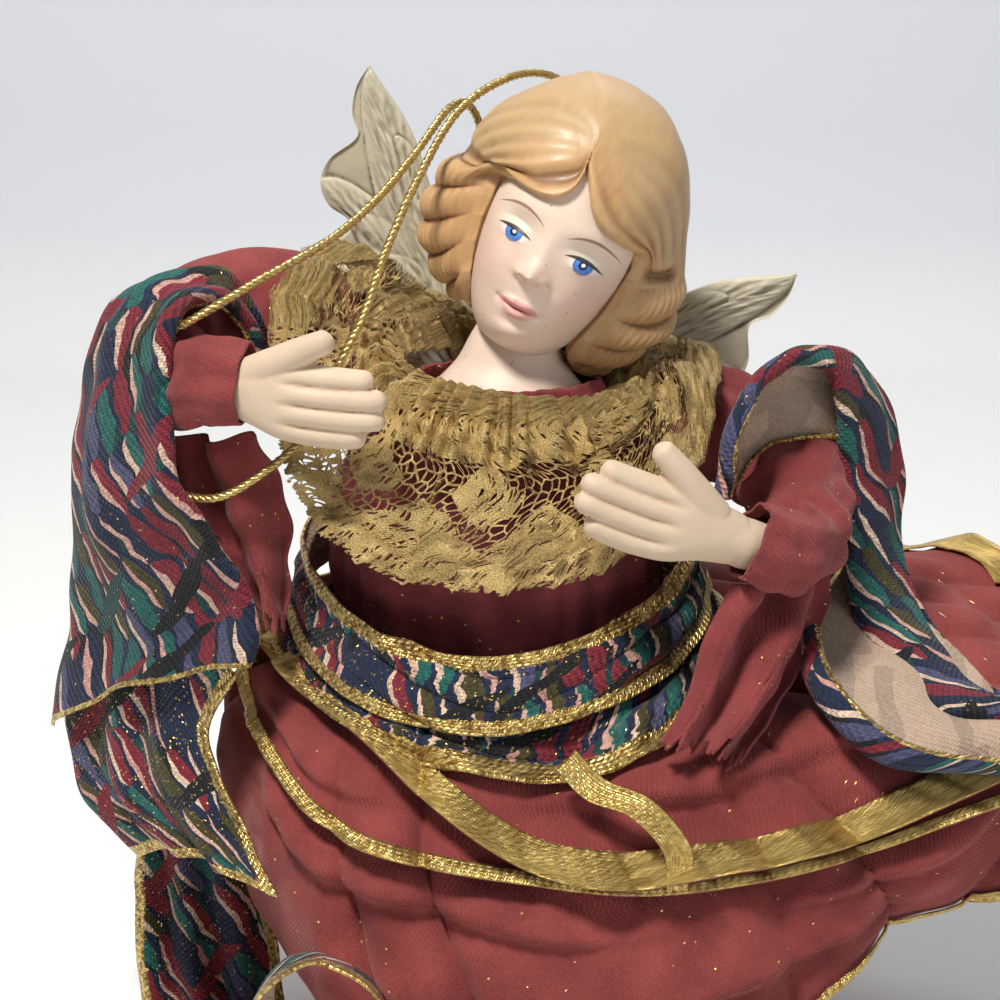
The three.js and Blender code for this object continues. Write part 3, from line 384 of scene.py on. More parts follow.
# %% Table and wall
WALL_DISTANCE = 0.64
FLOOR_SPAN = 3.0
FLOOR_DROP = 0.0004
COVE = 0.09
COVE_STEPS = 13
WALL_COLOUR_FROM = 0.05
TABLE_WHITE = (0.9, 0.91, 0.9)
WALL_LILAC = (0.74, 0.76, 0.81)


def make_backdrop():
    turn = np.linspace(0, math.pi / 2, COVE_STEPS)
    bend = WALL_DISTANCE - COVE + COVE * np.sin(turn)
    depth = np.concatenate(([WALL_DISTANCE - FLOOR_SPAN], bend, [WALL_DISTANCE]))
    height = np.concatenate(([0.0], COVE - COVE * np.cos(turn), [FLOOR_SPAN])) - FLOOR_DROP
    count = len(depth)
    points = [(side * FLOOR_SPAN / 2, y, z) for side in (-1, 1) for y, z in zip(depth, height)]
    faces = [(k, count + k, count + k + 1, k + 1) for k in range(count - 1)]
    sheet = mesh_object("backdrop", np.array(points) / MM, faces)
    sheet.data.shade_smooth()
    return sheet


def make_backdrop_paint():
    material, tree, surface = new_material("table_and_wall")
    height = parts_of(tree, object_place(tree))["Z"]
    colour = blend_colour(tree, share_between(tree, height, 0.0, WALL_COLOUR_FROM), TABLE_WHITE, WALL_LILAC)
    tree.links.new(colour, surface["Base Color"])
    surface["Roughness"].default_value = 0.7
    behind = node(tree, "ShaderNodeNewGeometry").outputs["Backfacing"]
    painted = tree.nodes["Principled BSDF"].outputs[0]
    clear = node(tree, "ShaderNodeBsdfTransparent").outputs[0]
    choice = node(tree, "ShaderNodeMixShader", {0: behind, 1: painted, 2: clear}).outputs[0]
    tree.links.new(choice, tree.nodes["Material Output"].inputs["Surface"])
    return material


backdrop = make_backdrop()
backdrop.data.materials.append(make_backdrop_paint())
print("stage:", backdrop.name)


# %% Weave and fleck groups
def make_weave():
    """Plain weave: threads that pass over and under each other, each with its own shade."""
    tree, source, result = new_group(
        "plain_weave", [("Place", "Vector"), ("Threads", "Float")], [("Height", "Float"), ("Shade", "Float")])
    parts = parts_of(tree, source["Place"])
    u = times(tree, parts["X"], source["Threads"])
    v = times(tree, parts["Y"], source["Threads"])
    warp = calc(tree, "ABSOLUTE", calc(tree, "SINE", times(tree, u, math.pi)))
    weft = calc(tree, "ABSOLUTE", calc(tree, "SINE", times(tree, v, math.pi)))
    cell = plus(tree, calc(tree, "FLOOR", u), calc(tree, "FLOOR", v))
    over = calc(tree, "PINGPONG", cell, 1.0)
    height = node(tree, "ShaderNodeMix", {0: over, 2: warp, 3: weft}).outputs[0]
    tree.links.new(height, result["Height"])
    threads = node(tree, "ShaderNodeCombineXYZ", {"X": calc(tree, "FLOOR", u), "Y": calc(tree, "FLOOR", v)})
    shade = node(tree, "ShaderNodeTexWhiteNoise", {"Vector": threads.outputs[0]}, noise_dimensions="2D")
    tree.links.new(shade.outputs["Value"], result["Shade"])
    return tree


def make_flecks():
    """Tiny scattered flecks of metallic thread."""
    tree, source, result = new_group(
        "gold_flecks", [("Place", "Vector"), ("Scale", "Float"), ("Share", "Float")], [("Mask", "Float")])
    cells = node(tree, "ShaderNodeTexVoronoi", {"Vector": source["Place"], "Scale": source["Scale"]})
    chance = node(tree, "ShaderNodeSeparateColor", {"Color": cells.outputs["Color"]}).outputs[0]
    chosen = calc(tree, "LESS_THAN", chance, source["Share"])
    near = calc(tree, "LESS_THAN", cells.outputs["Distance"], 0.32)
    tree.links.new(times(tree, chosen, near), result["Mask"])
    return tree


WEAVE = make_weave()
FLECKS = make_flecks()
GOLD_LIGHT = linear("F0D486")
GOLD_DARK = linear("7E5A20")
print("groups:", WEAVE.name, FLECKS.name)


# %% Burgundy cloth
def make_dress_cloth(name, dark, light, sheen, threads, fleck_share):
    material, tree, surface = new_material(name)
    flat = flat_place(tree)
    place = object_place(tree)
    weave = use_group(tree, WEAVE, {"Place": flat, "Threads": threads})
    cloud = noise(tree, place, 95.0, 4.0)
    fine = noise(tree, place, 900.0, 3.0)
    spread = share_between(tree, cloud, 0.32, 0.68)
    tone = plus(tree, times(tree, spread, 0.72), times(tree, weave["Shade"], 0.28))
    colour = blend_colour(tree, tone, dark, light)
    fleck = use_group(tree, FLECKS, {"Place": flat, "Scale": 16.0, "Share": fleck_share})["Mask"]
    tree.links.new(blend_colour(tree, fleck, colour, GOLD_LIGHT), surface["Base Color"])
    tree.links.new(times(tree, fleck, 0.85), surface["Metallic"])
    rough = minus(tree, plus(tree, 0.7, times(tree, fine, 0.3)), times(tree, fleck, 0.5))
    tree.links.new(rough, surface["Roughness"])
    height = plus(tree, times(tree, weave["Height"], 0.6), times(tree, fine, 0.9))
    tree.links.new(bump(tree, height, 0.55, 0.00022), surface["Normal"])
    surface["Sheen Weight"].default_value = sheen
    surface["Sheen Roughness"].default_value = 0.45
    surface["Sheen Tint"].default_value = (1.0, 0.72, 0.68, 1)
    surface["Specular IOR Level"].default_value = 0.25
    return material


dress_cloth = make_dress_cloth("burgundy_crepe", linear("722D2F"), linear("944545"), 0.18, 26.0, 0.012)
skirt_cloth = make_dress_cloth("burgundy_skirt", linear("702E2E"), linear("964543"), 0.16, 24.0, 0.008)
# The bodice burgundy is darker than the dress cloth; part of that darkness is painted shade from the collar
# above.
bodice_cloth = make_dress_cloth("burgundy_bodice", linear("63262C"), linear("8E3C40"), 0.2, 30.0, 0.03)
print("cloth:", dress_cloth.name, skirt_cloth.name, bodice_cloth.name)


# %% Gold ribbon
def make_gold_ribbon(name, ribs, rib_depth):
    material, tree, surface = new_material(name)
    flat = flat_place(tree)
    parts = parts_of(tree, flat)
    rib = calc(tree, "SINE", times(tree, parts["X"], TURN * ribs))
    weave = use_group(tree, WEAVE, {"Place": flat, "Threads": 15.0})
    grain = noise(tree, flat, 38.0, 2.0)
    cloud = noise(tree, flat, 2.2, 3.0)
    tone = plus(tree, times(tree, weave["Shade"], 0.4), times(tree, cloud, 0.8))
    tone = plus(tree, minus(tree, tone, 0.1), times(tree, rib, 0.08))
    tree.links.new(blend_colour(tree, tone, GOLD_DARK, GOLD_LIGHT), surface["Base Color"])
    tree.links.new(plus(tree, 0.2, times(tree, grain, 0.3)), surface["Roughness"])
    height = plus(tree, plus(tree, weave["Height"], times(tree, rib, 0.4)), times(tree, grain, 0.8))
    tree.links.new(bump(tree, height, 0.6, rib_depth), surface["Normal"])
    surface["Metallic"].default_value = 0.85
    return material


gold_ribbon = make_gold_ribbon("gold_rib_ribbon", 22.0, 0.00018)
print("gold:", gold_ribbon.name)


# %% Printed tapestry ribbon
def strokes(tree, flat, turn, long, wide, warp_size):
    """Slanting rows of leaf-shaped strokes: their mask, the place across each, and chances for each."""
    moved = warped(tree, flat, 1.1, warp_size)
    turned = node(tree, "ShaderNodeMapping", {
        "Vector": moved, "Rotation": (0, 0, math.radians(turn)), "Scale": (long, wide, 1)},
        vector_type="TEXTURE").outputs[0]
    parts = parts_of(tree, turned)
    row = calc(tree, "FLOOR", parts["Y"], 0.0)
    across = minus(tree, calc(tree, "FRACT", parts["Y"], 0.0), 0.5)
    start = node(tree, "ShaderNodeTexWhiteNoise", {"W": row}, noise_dimensions="1D").outputs["Value"]
    along = plus(tree, parts["X"], times(tree, start, 7.0))
    number = calc(tree, "FLOOR", along, 0.0)
    middle = minus(tree, calc(tree, "FRACT", along, 0.0), 0.5)
    key = node(tree, "ShaderNodeCombineXYZ", {"X": number, "Y": row}).outputs[0]
    draw = node(tree, "ShaderNodeTexWhiteNoise", {"Vector": key}, noise_dimensions="2D").outputs["Color"]
    chance = node(tree, "ShaderNodeSeparateColor", {"Color": draw}).outputs
    bow = minus(tree, 1.0, times(tree, times(tree, middle, middle), 3.8))
    half = times(tree, calc(tree, "SQRT", calc(tree, "MAXIMUM", bow, 0.0), 0.0), 0.42)
    mask = calc(tree, "LESS_THAN", calc(tree, "ABSOLUTE", across), half)
    return mask, across, chance


def colour_steps(tree, value, stops):
    ramp = tree.nodes.new("ShaderNodeValToRGB")
    ramp.color_ramp.interpolation = "CONSTANT"
    tree.links.new(value, ramp.inputs[0])
    steps = ramp.color_ramp.elements
    while len(steps) < len(stops):
        steps.new(1.0)
    for step, (place, colour) in zip(steps, stops):
        step.position = place
        step.color = (*colour, 1)
    return ramp.outputs[0]


NAVY = linear("1B2540")
BLACK = linear("15161C")
TEAL = linear("1F5F5A")
TEAL_DARK = linear("14403F")
RED = linear("7A2230")
CREAM = linear("DCC3AC")
PINK = linear("C9938A")
SLATE = linear("4B4C6C")
OLIVE = linear("453F22")


def make_print(name, gold_edge, gold_share):
    material, tree, surface = new_material(name)
    flat = flat_place(tree)
    leaf, upper, chance = strokes(tree, flat, 58, 1.25, 0.34, 0.5)
    shade_cloud = noise(tree, flat, 0.9, 1.0)
    body = colour_steps(tree, shade_cloud, [(0.0, BLACK), (0.42, NAVY), (0.62, TEAL_DARK)])
    leaf_colour = colour_steps(tree, chance[0], [
        (0.0, RED), (0.32, TEAL), (0.5, SLATE), (0.66, NAVY), (0.84, OLIVE)])
    body = blend_colour(tree, leaf, body, leaf_colour)
    light_side = times(tree, leaf, calc(tree, "GREATER_THAN", upper, 0.14))
    light_side = times(tree, light_side, calc(tree, "GREATER_THAN", chance[1], 0.36))
    body = blend_colour(tree, light_side, body, blend_colour(tree, chance[2], CREAM, PINK))
    second, _, pick = strokes(tree, flat, -40, 1.6, 0.42, 0.6)
    second = times(tree, second, calc(tree, "GREATER_THAN", pick[0], 0.82))
    second_colour = colour_steps(tree, pick[1], [(0.0, BLACK), (0.35, TEAL_DARK), (0.7, RED)])
    body = blend_colour(tree, second, body, second_colour)
    weave = use_group(tree, WEAVE, {"Place": flat, "Threads": 17.0})
    worn = noise(tree, flat, 14.0, 3.0)
    shade = plus(tree, 0.55, times(tree, plus(tree, weave["Shade"], worn), 0.4))
    grey = node(tree, "ShaderNodeCombineColor", {0: shade, 1: shade, 2: shade}).outputs[0]
    body = blend_colour(tree, 1.0, body, grey, "MULTIPLY")
    distance = stored(tree, "edge")
    frayed = plus(tree, distance, times(tree, minus(tree, worn, 0.5), 0.12))
    rim = calc(tree, "LESS_THAN", frayed, gold_edge)
    fleck = use_group(tree, FLECKS, {"Place": flat, "Scale": 19.0, "Share": gold_share})["Mask"]
    gold = calc(tree, "MAXIMUM", rim, fleck)
    gold_tone = blend_colour(tree, weave["Shade"], GOLD_DARK, GOLD_LIGHT)
    tree.links.new(blend_colour(tree, gold, body, gold_tone), surface["Base Color"])
    tree.links.new(times(tree, gold, 0.85), surface["Metallic"])
    tree.links.new(minus(tree, 0.8, times(tree, gold, 0.45)), surface["Roughness"])
    height = plus(tree, weave["Height"], times(tree, worn, 0.8))
    tree.links.new(bump(tree, height, 0.7, 0.0003), surface["Normal"])
    surface["Sheen Weight"].default_value = 0.1
    surface["Specular IOR Level"].default_value = 0.3
    return material


def make_ribbon_back(name):
    """The lining side: pale beige threads with the print showing through as faint stripes."""
    material, tree, surface = new_material(name)
    flat = flat_place(tree)
    _, _, chance = strokes(tree, flat, 58, 1.25, 0.34, 0.5)
    ghost = colour_steps(tree, chance[0], [
        (0.0, linear("85796F")), (0.4, linear("C0A893")), (0.7, linear("97786E"))])
    weave = use_group(tree, WEAVE, {"Place": flat, "Threads": 19.0})
    pale = blend_colour(tree, times(tree, weave["Shade"], 0.5), linear("AB937F"), linear("D0BAA6"))
    tree.links.new(blend_colour(tree, 0.4, pale, ghost), surface["Base Color"])
    tree.links.new(bump(tree, weave["Height"], 0.6, 0.0002), surface["Normal"])
    surface["Roughness"].default_value = 0.85
    surface["Specular IOR Level"].default_value = 0.25
    return material


shawl_print = make_print("tapestry_print", 0.1, 0.03)
sash_print = make_print("tapestry_sash", 0.24, 0.24)
ribbon_back = make_ribbon_back("ribbon_lining")
print("ribbon:", shawl_print.name, sash_print.name, ribbon_back.name)

# %% [markdown]
# ## Hanging cord
# The cord is a thin gold twist of three strands. It leaves a knot behind the neck, runs over the hair,
# loops round the figure's right arm and goes back to the knot. Three thin tubes wind round one route, as
# the real strands do.

# %% Cord
CORD_ROUTE = [
    (5.9, 17.6, 128), (8.6, 18.8, 133), (12.4, 19.8, 146), (13, 19.6, 158), (9.8, 16, 165),
    (2.6, 9.6, 166.4), (-6.4, 0.5, 161.8), (-12.8, -8.4, 152), (-17.6, -15.8, 141.8), (-20.8, -21, 133),
    (-24, -23.2, 127), (-27, -23.6, 120.5), (-30, -24.4, 114.6), (-37, -27.6, 109), (-44, -27.5, 105.6),
    (-51.5, -22.5, 106), (-58, -15.5, 110.5), (-60.4, -11, 116.5), (-59.8, -13, 123.5), (-55, -18.8, 129.4),
    (-49.4, -23, 131.2), (-44.6, -24.6, 134), (-36.5, -21.8, 138.4), (-26.4, -13.4, 143.2),
    (-19.4, -5, 148.4), (-13.6, 2, 154.6), (-9, 8.6, 160.4), (-6, 14.4, 161.6), (-3.6, 19, 158),
    (-2.6, 20, 150), (-1.4, 19.6, 138), (0.2, 18, 130.2),
]
STRAND_RADIUS = 0.42
STRAND_OFFSET = 0.34
STRAND_PITCH = 3.4
STRAND_SIDES = 6
STRANDS = 3
CORD_STEP = 0.7
LINE_STEPS = 4000


def even_line(points, step):
    """The smooth line through points, cut into even steps, with its length."""
    fine = smooth_line(points, np.linspace(0, 1, LINE_STEPS))
    reach = np.concatenate(([0], np.cumsum(np.linalg.norm(np.diff(fine, axis=0), axis=1))))
    wanted = np.linspace(0, reach[-1], max(2, int(round(reach[-1] / step)) + 1))
    return np.stack([np.interp(wanted, reach, fine[:, k]) for k in range(3)], -1), reach[-1]


def line_frames(line):
    """Tangents and two steady side directions along a line."""
    tangent = np.gradient(line, axis=0)
    tangent /= np.linalg.norm(tangent, axis=1, keepdims=True)
    sides = np.zeros_like(line)
    side = np.cross(tangent[0], (0.3, 0.5, 0.8))
    for k, way in enumerate(tangent):
        side = side - way * np.dot(side, way)
        side /= np.linalg.norm(side)
        sides[k] = side
    return tangent, sides, np.cross(tangent, sides)


def tube_faces(rings, sides, start=0, turned=False):
    """Faces of a tube with closed ends; turned makes them look the other way."""
    faces = []
    for k in range(rings - 1):
        for j in range(sides):
            n = (j + 1) % sides
            a = start + k * sides
            faces.append((a + j, a + n, a + sides + n, a + sides + j))
    faces.append(tuple(start + j for j in reversed(range(sides))))
    faces.append(tuple(start + (rings - 1) * sides + j for j in range(sides)))
    return [(face[0], *face[:0:-1]) for face in faces] if turned else faces


def strand_tube(line, radius, sides, start=0):
    _, side, other = line_frames(line)
    angle = np.linspace(0, TURN, sides, endpoint=False)
    spokes = side[:, None] * np.cos(angle)[None, :, None] + other[:, None] * np.sin(angle)[None, :, None]
    return (line[:, None] + spokes * radius).reshape(-1, 3), tube_faces(len(line), sides, start)


def twisted_cord(name, route, step):
    line, length = even_line(route, step)
    _, side, other = line_frames(line)
    reach = np.linspace(0, length, len(line))
    points, faces = [], []
    for strand in range(STRANDS):
        angle = TURN * (reach / STRAND_PITCH + strand / STRANDS)
        wound = line + STRAND_OFFSET * (side * np.cos(angle)[:, None] + other * np.sin(angle)[:, None])
        made, sides = strand_tube(wound, STRAND_RADIUS, STRAND_SIDES, sum(len(p) for p in points))
        points.append(made)
        faces += sides
    piece = mesh_object(name, np.concatenate(points), faces)
    smooth_shade(piece)
    return piece, line, length


def make_cord_gold():
    material, tree, surface = new_material("gold_cord")
    grain = noise(tree, object_place(tree), 1500.0, 2.0)
    tree.links.new(blend_colour(tree, grain, linear("6E4E1C"), linear("F0D68C")), surface["Base Color"])
    tree.links.new(bump(tree, grain, 0.7, 0.0002), surface["Normal"])
    surface["Metallic"].default_value = 0.85
    surface["Roughness"].default_value = 0.34
    return material


cord_gold = make_cord_gold()
cord, cord_line, cord_length = twisted_cord("gold_hanging_cord", CORD_ROUTE, CORD_STEP)
cord.data.materials.append(cord_gold)
settle(cord, "hanging_cord")
print("cord length in mm:", round(float(cord_length)))

# %% Knot
KNOT_STEPS = 240
KNOT_SIDES = 8


def wound_knot(name, centre, half, turns, radius):
    """A small ball of cord wound over itself."""
    angle = np.linspace(0, TURN * turns, KNOT_STEPS)
    line = np.stack((
        centre[0] + half[0] * np.cos(angle) * (0.75 + 0.25 * np.cos(angle * 0.37)),
        centre[1] + half[1] * np.sin(angle) * np.cos(angle * 0.31),
        centre[2] + half[2] * np.sin(angle) * np.sin(angle * 0.31 + 0.6)), -1)
    points, faces = strand_tube(line, radius, KNOT_SIDES)
    return mesh_object(name, points, faces)


knot = wound_knot("cord_knot_wound", centre=(3, 17.4, 127.5), half=(1.9, 1.2, 1.5), turns=7, radius=0.7)
smooth_shade(knot)
knot.data.materials.append(cord_gold)
settle(knot, "cord_knot")
print("knot faces:", len(knot.data.polygons))

# %% [markdown]
# ## Skirt
# Three layers of the same stiff cloth hang from the waist, each shorter than the one below it, and all
# sweep to the figure's left. One surface between a waist ring, a ring at the bulge and the hem carries them
# all: each layer is that surface moved outwards, so the folds of one layer lie in the folds of the next.

# %% Skirt surface
WAIST_HALF = (27, 21.5)
WAIST_CENTRE = (-1, 0, 76)
WAIST_TILT = 0.22
SKIRT_BULGE = [
    (-46, 0, 55), (-39, -21, 50), (-20, -36, 47), (8, -41, 47), (32, -39, 52), (52, -31, 60),
    (64, -8, 68), (60, 16, 76), (40, 31, 72), (10, 37, 58), (-18, 34, 50), (-38, 20, 52),
]
SKIRT_HEM = [
    (-24, 0, 0), (-17, -23, 0), (2, -38, 0), (28, -44, 6), (50, -41, 30), (80, -26, 38),
    (108, -6, 52), (110, 20, 70), (90, 40, 64), (50, 46, 28), (12, 40, 0), (-14, 24, 0),
]
BULGE_SHARE = 0.42
MIDDLE_HEM = [0.2, 0.25, 0.36, 0.42, 0.53, 0.64, 0.88, 0.9, 0.84, 0.72, 0.55, 0.32]
UPPER_HEM = [0.14, 0.12, 0.17, 0.4, 0.5, 0.6, 0.8, 0.82, 0.74, 0.6, 0.42, 0.24]
LOWER_SASH_HEM = [0.1, 0.11, 0.16, 0.215, 0.215, 0.15, 0.11, 0.1, 0.1, 0.1, 0.1, 0.1]
FLOOR_CLEARANCE = 0.4
FLARE_SPAN = 0.13
SKIRT_COLUMNS = 480
# Tucks: line round the skirt, height in millimetres, and the shares of the round where it starts and ends
SKIRT_TUCKS = [
    ([0.17, 0.19, 0.26, 0.31, 0.36, 0.42, 0.55, 0.6, 0.5, 0.4, 0.3, 0.2], 2.6, 0.02, 0.2),
    ([0.16, 0.17, 0.22, 0.25, 0.29, 0.36, 0.5, 0.55, 0.5, 0.4, 0.3, 0.2], 3.0, 0.24, 0.47),
    ([0.3, 0.34, 0.45, 0.52, 0.63, 0.74, 0.93, 0.95, 0.9, 0.8, 0.65, 0.42], 2.8, 0.05, 0.3),
    ([0.3, 0.34, 0.5, 0.58, 0.62, 0.72, 0.66, 0.6, 0.5, 0.4, 0.3, 0.3], 2.6, 0.33, 0.6),
    ([0.5, 0.56, 0.66, 0.72, 0.78, 0.86, 0.9, 0.9, 0.86, 0.8, 0.7, 0.6], 2.4, 0.13, 0.4),
    ([0.2, 0.3, 0.4, 0.5, 0.4, 0.3, 0.4, 0.5, 0.6, 0.55, 0.45, 0.3], 2.6, 0.56, 0.9),
]


def round_share(values, share):
    return smooth_line(np.asarray(values, float)[:, None], share, closed=True)[..., 0]


def skirt_surface(share, down):
    angle = -math.pi + TURN * share
    y = WAIST_HALF[1] * np.sin(angle)
    x = WAIST_CENTRE[0] + WAIST_HALF[0] * np.cos(angle)
    waist = np.stack((x, y, WAIST_CENTRE[2] + WAIST_TILT * y), -1)
    bulge = smooth_line(SKIRT_BULGE, share, closed=True)
    hem = smooth_line(SKIRT_HEM, share, closed=True)
    m = BULGE_SHARE
    return (waist * ((down - m) * (down - 1) / m)[..., None]
            + bulge * (down * (down - 1) / (m * (m - 1)))[..., None]
            + hem * (down * (down - m) / (1 - m))[..., None])


def skirt_normal(share, down):
    small = 1e-3
    below = skirt_surface(share, down + small) - skirt_surface(share, down - small)
    along = skirt_surface(share + small, down) - skirt_surface(share - small, down)
    normal = np.cross(below, along)
    return normal / np.linalg.norm(normal, axis=-1, keepdims=True)


def tuck(share, down, line, height, start, end):
    """A fold along a line round the skirt: it swells above the line and drops sharply below it."""
    above = round_share(line, share) + 0.012 * np.sin(TURN * (9 * share + start)) - down
    swell = np.where(above > 0, np.exp(-(above / 0.09) ** 2), np.exp(-(above / 0.014) ** 2))
    fade = np.clip((share - start) * 14, 0, 1) * np.clip((end - share) * 14, 0, 1)
    return height * swell * fade


def skirt_fold(share, down):
    """Large folds that grow towards the hem, creases from the gathered waist, and tucks round the skirt."""
    large = 2.8 * down * np.cos(TURN * (6 * share + 0.25 * down))
    drift = 0.5 * np.sin(TURN * (2 * share + 0.1))
    drift = drift + 0.4 * np.sin(TURN * (5 * share + 0.35 * down))
    phase = 15 * share + drift + 0.9 * down * np.sin(TURN * (3 * share + 0.3))
    uneven = 0.6 + 0.4 * np.sin(TURN * (4 * share + 0.5 * down + 0.2))
    crease = (2 * np.abs(np.sin(math.pi * phase)) ** 0.5 - 1.4) * uneven
    crumple = 0.8 * ripple(np.stack((share * 75, down * 11), -1), 3.2, 5)
    crumple += 0.32 * ripple(np.stack((share * 75, down * 11), -1), 1.4, 6)
    tucks = sum(tuck(share, down, *fold) for fold in SKIRT_TUCKS)
    return (large + 2.6 * crease * np.clip(down * 3.2 + 0.1, 0, 1) + crumple * np.clip(down * 5, 0, 1)
            + tucks * np.clip(down * 8 - 0.6, 0, 1))


def skirt_layer(name, top, hem, rows, columns, offset, thickness, materials, extra=None, flare=0.0):
    """A ring of cloth or braid on the skirt; flare is how far its hem stands away, in millimetres."""
    share = np.arange(columns) / columns
    steps = np.linspace(0, 1, rows)[:, None]
    first = np.broadcast_to(round_share(top, share) if np.ndim(top) else top, share.shape)
    last = np.broadcast_to(round_share(hem, share) if np.ndim(hem) else hem, share.shape)
    down = first + (last - first) * steps
    across = np.broadcast_to(share, down.shape)
    rise = offset + skirt_fold(across, down)
    if extra is not None:
        rise = rise + extra(steps, across)
    wave = 0.65 + 0.35 * np.cos(TURN * (17 * across + 0.8 * np.sin(TURN * 3 * across)))
    rise = rise + flare * wave * np.clip(1 - (last - down) / FLARE_SPAN, 0, 1) ** 2
    grid = skirt_surface(across, down) + skirt_normal(across, down) * rise[..., None]
    grid[..., 2] = np.maximum(grid[..., 2], FLOOR_CLEARANCE)
    _, drop = flat_map(grid, True)
    length = drop[-1, 0]
    reach = drop[:, :columns]
    edge = np.minimum(reach, length - reach)
    return cloth_piece(name, grid, thickness, materials, closed=True, edge=edge), grid


def declare_sheet(piece, wide, long, node_name):
    """Settles a cloth piece, and says the flat size it was cut from."""
    settle(piece, node_name)
    print(piece.name, "cut", round(float(wide)), "x", round(float(long)), "mm")


def declare_ring(piece, grid, node_name):
    """A cloth ring cut from one strip: as long as its longest row, as wide as its widest drop."""
    closed = np.concatenate((grid, grid[:, :1]), axis=1)
    around = np.linalg.norm(np.diff(closed, axis=1), axis=-1).sum(axis=1).max()
    drop = np.linalg.norm(np.diff(grid, axis=0), axis=-1).sum(axis=0).max()
    declare_sheet(piece, around, drop, node_name)


print("skirt surface ready")

# %% Skirt layers
LINING_GAP = 0.4
TIER_STEP = 1.9
CLOTH = 0.55
MIDDLE_FLARE = 2.0
UPPER_FLARE = 3.0
underskirt, underskirt_grid = skirt_layer(
    "underskirt_cloth", 0.0, 1.0, 84, SKIRT_COLUMNS, LINING_GAP, CLOTH, [skirt_cloth])
middle_tier, middle_grid = skirt_layer(
    "middle_tier_cloth", 0.005, MIDDLE_HEM, 60, SKIRT_COLUMNS, LINING_GAP + TIER_STEP, CLOTH, [skirt_cloth],
    flare=MIDDLE_FLARE)
upper_tier, upper_grid = skirt_layer(
    "upper_tier_cloth", 0.01, UPPER_HEM, 52, SKIRT_COLUMNS, LINING_GAP + 2 * TIER_STEP, CLOTH, [skirt_cloth],
    flare=UPPER_FLARE)
print("skirt layers:", underskirt.name, middle_tier.name, upper_tier.name)

# %% Gold edges of the skirt
TRIM_OFFSET = 1.45
NARROW_TRIM = 0.03
WIDE_TRIM = 0.085
UNDERSKIRT_TRIM_HEM = 0.985
BRAID_ROWS = 11
BRAID = 0.35


def braid_swell(steps, across):
    return 0.35 * np.sin(math.pi * steps) + 0.16 * ripple(across[..., None] * 300, 3.0, 8)


def sewn_edge(name, hem, width, offset, node_name, flare=0.0):
    """A gold braid that belongs to the layer it is sewn on."""
    top = np.asarray(hem, float) - width
    piece, _ = skirt_layer(
        name, top, hem, BRAID_ROWS, SKIRT_COLUMNS, offset, BRAID, [gold_ribbon], braid_swell, flare=flare)
    settle(piece, node_name)
    return piece


underskirt_edge = sewn_edge(
    "underskirt_gold_edge", [UNDERSKIRT_TRIM_HEM] * 12, NARROW_TRIM, TRIM_OFFSET, "underskirt_trim")
declare_ring(underskirt, underskirt_grid, "underskirt")
middle_edge = sewn_edge(
    "middle_tier_gold_edge", MIDDLE_HEM, NARROW_TRIM, TIER_STEP + TRIM_OFFSET, "middle_tier_trim",
    MIDDLE_FLARE)
declare_ring(middle_tier, middle_grid, "middle_tier")
upper_band = sewn_edge(
    "upper_tier_gold_band", UPPER_HEM, WIDE_TRIM, 2 * TIER_STEP + TRIM_OFFSET, "upper_tier_band", UPPER_FLARE)
declare_ring(upper_tier, upper_grid, "upper_tier")

# %% [markdown]
# ## Waist sash
# A tapestry ribbon goes round the waist twice. The lower wrap follows the skirt and the upper one stands on
# the body, dipping in front. Lengthwise rolls that open and close make each wrap look gathered by hand.

# %% Sash wraps
RIBBON = 0.5
SASH_ROWS = 52
SASH_COLUMNS = 360
LOWER_SASH_TOP = 0.045
LOWER_SASH_STEP = 6.6
UPPER_SASH_HALF = (31.5, 26.5)
UPPER_SASH_BACK = 91
UPPER_SASH_DROP = 15.5
UPPER_SASH_WIDTH = 11


def sash_pleat(steps, across):
    """Rolls of gathered ribbon that wander up and down and open and close along the sash."""
    shift = 0.2 * np.sin(TURN * (2 * across + 0.2)) + 0.12 * np.sin(TURN * (5 * across + 0.5))
    roll = np.abs(np.sin(2.4 * math.pi * (steps + shift))) ** 0.55
    open_share = 0.7 + 0.3 * np.sin(TURN * (5 * across + 0.3))
    fine = ripple(np.stack(np.broadcast_arrays(across * 90, steps * 7), -1), 3.0, 21)
    return 2.1 * roll * open_share - 0.9 + 0.35 * fine


lower_sash, lower_grid = skirt_layer(
    "lower_sash_ribbon", LOWER_SASH_TOP, LOWER_SASH_HEM, SASH_ROWS, SASH_COLUMNS, LOWER_SASH_STEP, RIBBON,
    [sash_print, ribbon_back], sash_pleat)


def upper_sash_grid(rows, columns):
    steps = np.linspace(0, 1, rows)[:, None]
    share = np.broadcast_to(np.arange(columns) / columns, (rows, columns))
    angle = -math.pi + TURN * share
    front = ((1 - np.sin(angle)) / 2) ** 2
    flare = 5.5 * (0.35 + 0.65 * front) * (steps - 0.5)
    grow = sash_pleat(steps, share) + flare + 6.4 * front - 0.4
    x = (UPPER_SASH_HALF[0] + grow) * np.cos(angle)
    y = -0.5 + (UPPER_SASH_HALF[1] + grow) * np.sin(angle)
    middle = UPPER_SASH_BACK - UPPER_SASH_DROP * front + 0.1 * np.maximum(0, x)
    return np.stack((x, y, middle + UPPER_SASH_WIDTH * (0.5 - steps)), -1)


upper_grid_points = upper_sash_grid(SASH_ROWS, SASH_COLUMNS)
_, upper_drop = flat_map(upper_grid_points, True)
upper_sash = cloth_piece(
    "upper_sash_ribbon", upper_grid_points, RIBBON, [sash_print, ribbon_back], closed=True,
    edge=np.minimum(upper_drop, upper_drop[-1, 0] - upper_drop)[:, :-1])
declare_ring(upper_sash, upper_grid_points, "upper_sash")

